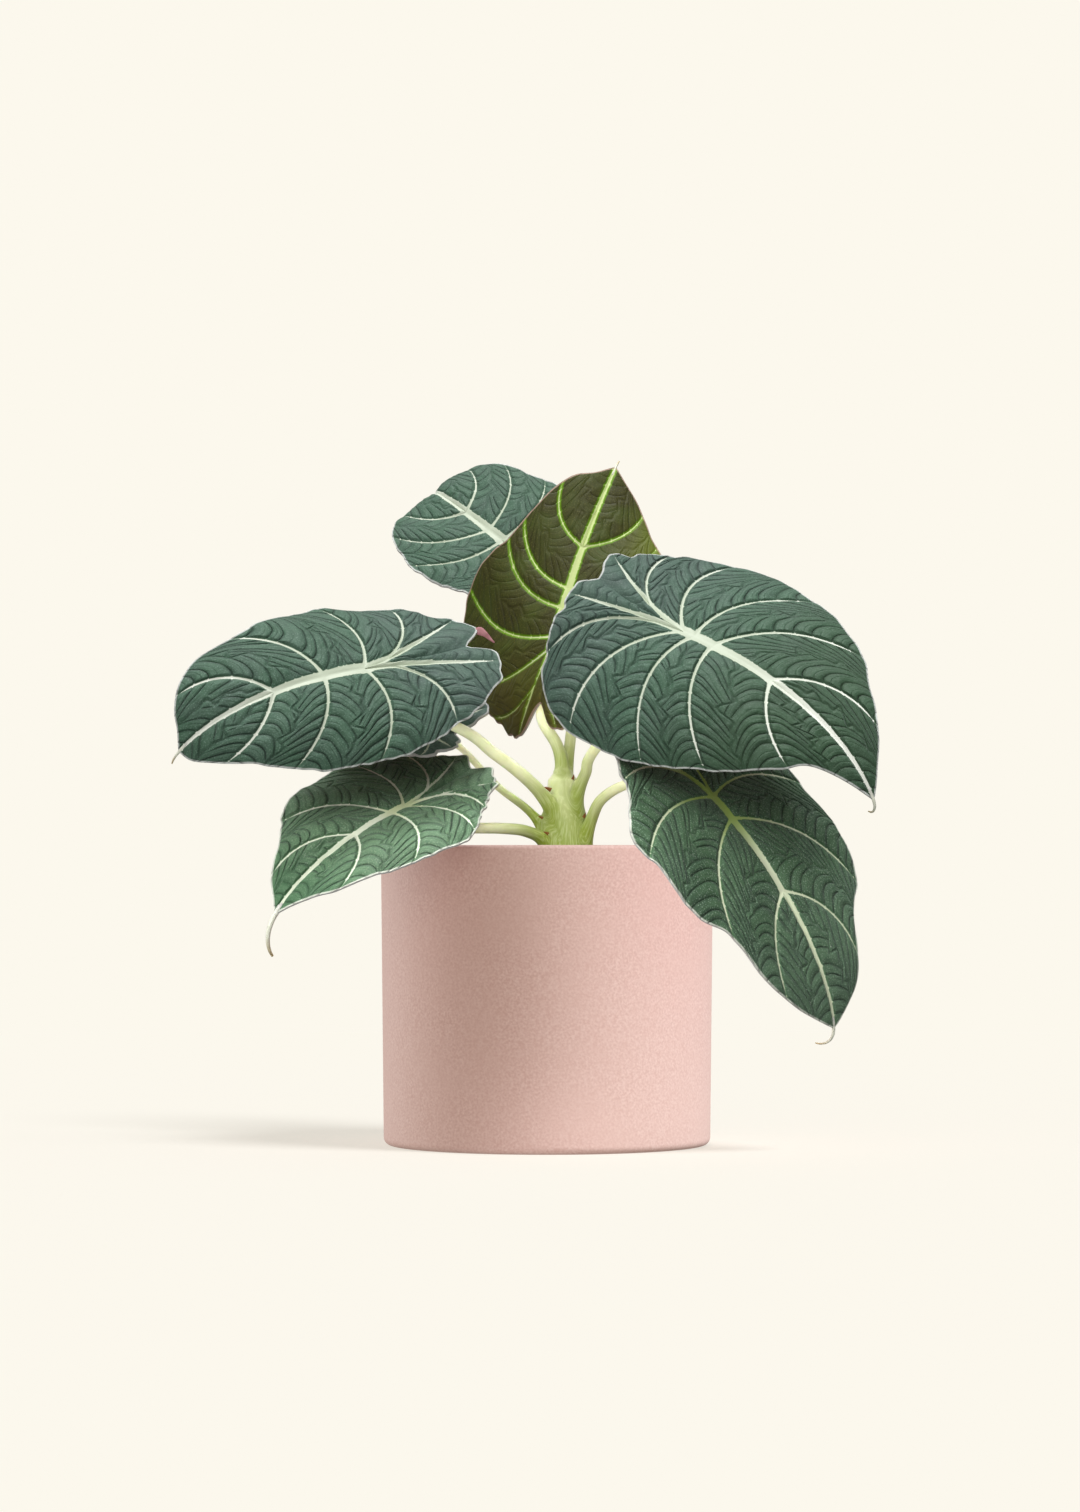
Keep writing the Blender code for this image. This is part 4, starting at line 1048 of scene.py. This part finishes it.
# The dry tips where old sheaths ended: paper-thin dead tissue, brown and curled.
sheathLook = dict(dark="#7a3a22", light="#a8763f", size=0.8, width=0.28, depth=0.6, end=0.05, hook=0.3)
sheathTips = [    # place, direction, and length
    dict(at=(1.6, -7.2, 138.4), way=(-0.8, -0.1, 0.45), size=3.0),
    dict(at=(10.0, -4.4, 142.6), way=(0.25, 0.0, 0.6), size=2.0),
    dict(at=(-1.6, -8.9, 127.4), way=(-0.7, 0.0, 0.45), size=2.0),
    dict(at=(0.6, -9.6, 121.2), way=(-0.6, 0.0, 0.4), size=2.2),
    dict(at=(14.2, -7.5, 127.6), way=(0.35, 0.0, 0.6), size=2.2),
]


def makeSheathTips():
    look = sheathLook
    mat, add = newMaterial("driedSheath", {"Roughness": 0.8, "IOR": 1.4})
    cloud = add("noise", add("place"), 1 / (look["size"] * mm), 3.0)
    wire(mat, {"Base Color": add("blend", cloud, look["dark"], look["light"])})
    points, faces = [], []
    f, deep = np.linspace(0, 1, 7)[:, None], np.array((0, 1, 0))
    for tip in sheathTips:
        way = np.array(tip["way"]) / np.linalg.norm(tip["way"])
        side = np.cross(way, deep)
        path = np.array(tip["at"]) + way * tip["size"] * f + side * look["hook"] * f * f
        radii = look["width"] * tip["size"] * (1 - f[:, 0]) ** 0.7 + look["end"]
        rings = ringsAlong(path, radii, np.tile([side, look["depth"] * deep], (len(f), 1, 1)), 8)
        start = sum(map(len, points))
        faces += [tuple(v + start for v in face) for face in loftRings(rings)]
        points.append(rings.reshape(-1, 3))
    piece = makeMesh("driedSheathTips", np.concatenate(points), faces, [mat])
    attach(piece, "root")


# The corner of one rear lobe has curled over and shows the dusky pink of its back.
curledLobe = dict(path=((-28.6, -18.6, 199.4), (-26.4, -20.0, 200.0), (-24.0, -21.0, 198.6),
                        (-22.2, -21.4, 196.9), (-20.4, -21.6, 195.3)),
                  widths=(0.8, 1.7, 1.2, 0.7, 0.25), thickness=0.5, wave=(0.25, 1.1))


def makeCurledLobe():
    form = curledLobe
    path = smoothPath(form["path"], 14)
    widths = np.interp(np.linspace(0, 1, 15), np.linspace(0, 1, len(form["widths"])), form["widths"])
    axes = np.array([ringFrame(path, k, np.array((0.5, 0.0, 1.0))) for k in range(len(path))])
    high, pace = form["wave"]
    path = path + high * np.sin(pace * np.arange(len(path)))[:, None] * axes[:, 1]
    axes[:, 0] *= widths[:, None]
    axes[:, 1] *= form["thickness"] / 2
    rings = ringsAlong(path, np.ones(len(path)), axes, 12)
    points = rings.reshape(-1, 3)
    piece = makeMesh("curledLobe", points, loftRings(rings), [leafMats["back"]],
                     values={"flat": points, "veinGap": np.full(len(points), 5.0)})
    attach(piece, "root")


# Floor, light and camera

# Matt white paper without gloss: it takes the soft shadow, and farther off it fades into the backdrop.
stageLook = dict(backdrop="#fcf8ed", floor="#f4f0e6", shade=0.50, glow=0.62, radius=12.0, clearFrom=0.45,
                 clearTo=1.1)


def makeStage():
    look = stageLook
    mat, add = newMaterial("paperSweep", {"Base Color": look["floor"], "Roughness": 0.9,
                                          "Specular IOR Level": 0.0})
    # far from the pot the paper gives light of its own, so that it meets the backdrop without a line
    away = add("length", add("place"))
    clear, power = (add("smooth", away, look["clearFrom"], look["clearTo"], near, 1.0)
                    for near in (1 - look["shade"], look["glow"]))
    glow = add("glow", look["backdrop"], add("over", power, clear))
    paper = mat.node_tree.nodes["Principled BSDF"].outputs[0]
    wire(mat, {"Surface": add("either", clear, paper, glow)}, "Material Output")
    bpy.ops.mesh.primitive_circle_add(vertices=96, radius=look["radius"], fill_type="NGON")
    floor = bpy.context.object
    floor.name = floor.data.name = "paperFloor"
    floor.data.materials.append(mat)
    floor.visible_diffuse = floor.visible_glossy = False

    mat, add = newMaterial("paperBackdrop", {})
    wire(mat, {"Surface": add("glow", look["backdrop"], 1.0)}, "Material Output")
    bpy.ops.mesh.primitive_uv_sphere_add(segments=48, ring_count=24, radius=0.98 * look["radius"])
    dome = bpy.context.object
    dome.name = "paperBackdrop"
    dome.data.materials.append(mat)
    for ray in ("diffuse", "glossy", "transmission", "shadow", "volume_scatter"):
        setattr(dome, "visible_" + ray, False)


# Soft lights far away: bearing from the front round to the right, height angle and width in degrees, watts
# on a square metre, and what each lights. The leaves are lit from above and in front, and the low and the
# hidden ones have a light more. The petioles, the crown and the pot have lights of their own, which the
# leaves don't shade. The floor takes one soft shadow: of the pot, the petioles and the leaves in floorShades.
lightPlan = {
    "topLight": dict(bearing=180, height=82, wide=20, power=2.7, colour="#ffffff", lights="leafOnly"),
    "frontLight": dict(bearing=-15, height=36, wide=50, power=1.75, colour="#fffdf8", lights="leafOnly"),
    "lowLeafLight": dict(bearing=-50, height=34, wide=60, power=1.6, colour="#fffdf8", lights="lowOnly"),
    "rearLeafLight": dict(bearing=-30, height=40, wide=60, power=1.5, colour="#fffdf8", lights="rearOnly"),
    "stalkLight": dict(bearing=-48, height=26, wide=120, power=2.9, colour="#fffdf8", lights="stalksOnly"),
    "stalkFillLight": dict(bearing=55, height=-20, wide=150, power=1.6, colour="#fffdf8",
                           lights="stalksOnly"),
    "floorLight": dict(bearing=57, height=53, wide=20, power=2.12, colour="#fafbff", lights="floorOnly"),
    "potKeyLight": dict(bearing=78, height=36, wide=20, power=3.9, colour="#eef8ff", lights="potOnly"),
    "potEdgeLight": dict(bearing=-120, height=10, wide=20, power=2.0, colour="#f6f9fa", lights="potOnly"),
    "potFillLight": dict(bearing=-5, height=-8, wide=90, power=1.02, colour="#fff4ec", lights="potOnly"),
}
floorShades = ("Right", "Centre", "LowRight")
worldLight = dict(colour="#f8f6f0", strength=0.32)
# A low reflector in front of the pot lifts the light at its foot.
cardPlan = dict(at=(0.0, -0.100, -0.004), size=(0.07, 0.012), tilt=105, power=0.0052, colour="#f4f6ff")


def makeLights():
    world = bpy.data.worlds.new("studio")
    bpy.context.scene.world = world
    world.use_nodes = True
    background = world.node_tree.nodes["Background"]
    background.inputs["Color"].default_value = srgb(worldLight["colour"])
    background.inputs["Strength"].default_value = worldLight["strength"]
    for name, plan in lightPlan.items():
        data = bpy.data.lights.new(name, "SUN")
        data.angle = math.radians(plan["wide"])
        data.energy = plan["power"]
        data.color = srgb(plan["colour"])[:3]
        lamp = addObject(name, data)
        a, e = math.radians(plan["bearing"]), math.radians(plan["height"])
        way = Vector((math.sin(a) * math.cos(e), -math.cos(a) * math.cos(e), math.sin(e)))
        lamp.location = way
        lamp.rotation_euler = way.to_track_quat("Z", "Y").to_euler()
    data = bpy.data.lights.new("footCard", "AREA")
    data.shape = "RECTANGLE"
    data.size, data.size_y = cardPlan["size"]
    data.energy = cardPlan["power"]
    data.color = srgb(cardPlan["colour"])[:3]
    card = addObject("footCard", data)
    card.location = cardPlan["at"]
    card.rotation_euler = (math.radians(cardPlan["tilt"]), 0, 0)
    card.visible_camera = False


def linkLights():
    every = bpy.data.objects
    pot, floor = every["flowerPot"], every["paperFloor"]
    stalks = [piece for piece in every if piece.name.startswith(("petiole", "plantCrown"))]
    shades = [every["leaf" + name + "Blade"] for name in floorShades]
    members = dict(
        potOnly=[pot], floorOnly=[floor], stalksOnly=stalks, rearOnly=[every["leafHiddenBlade"]],
        lowOnly=[piece for piece in every if piece.name.startswith("leafLow")],
        leafOnly=[pot, floor], floorShade=[pot, *stalks, *shades])
    groups = {}
    for group, pieces in members.items():
        groups[group] = bpy.data.collections.new(group)
        for piece in pieces:
            groups[group].objects.link(piece)
        for link in groups[group].collection_objects:
            link.light_linking.link_state = "EXCLUDE" if group == "leafOnly" else "INCLUDE"
    for name, plan in [*lightPlan.items(), ("footCard", {"lights": "potOnly"})]:
        linking = every[name].light_linking
        linking.receiver_collection = groups[plan["lights"]]
        if plan["lights"] in ("potOnly", "stalksOnly", "rearOnly"):
            linking.blocker_collection = groups[plan["lights"]]
    every["floorLight"].light_linking.blocker_collection = groups["floorShade"]


cameraPlan = dict(at=(-0.00274, -1.8, 0.117), pitch=1.109, lens=109.45)


def makeCamera():
    data = bpy.data.cameras.new("camera")
    data.lens = cameraPlan["lens"]
    data.clip_start, data.clip_end = 0.05, 100.0
    camera = addObject("camera", data)
    camera.location = cameraPlan["at"]
    camera.rotation_euler = (math.radians(90 + cameraPlan["pitch"]), 0, 0)
    bpy.context.scene.camera = camera


makeCamera()
makeLights()
makeStage()
print("camera, lights and floor made")
leafMats = {name: leafTop(name, paint) for name, paint in leafPaints.items()}
leafMats["back"], leafMats["rim"] = leafBack(), leafRim()
stalkMat = stalkSkin()
makePot()
makeSoil()
makeCrown()
makeSheathTips()
print("pot, soil and crown made")
for name, leaf in leaves.items():
    makeStalk(name, leaf)
    makeBlade(name, leaf)
makeCurledLobe()
linkLights()
bpy.context.scene.view_settings.view_transform = "Standard"
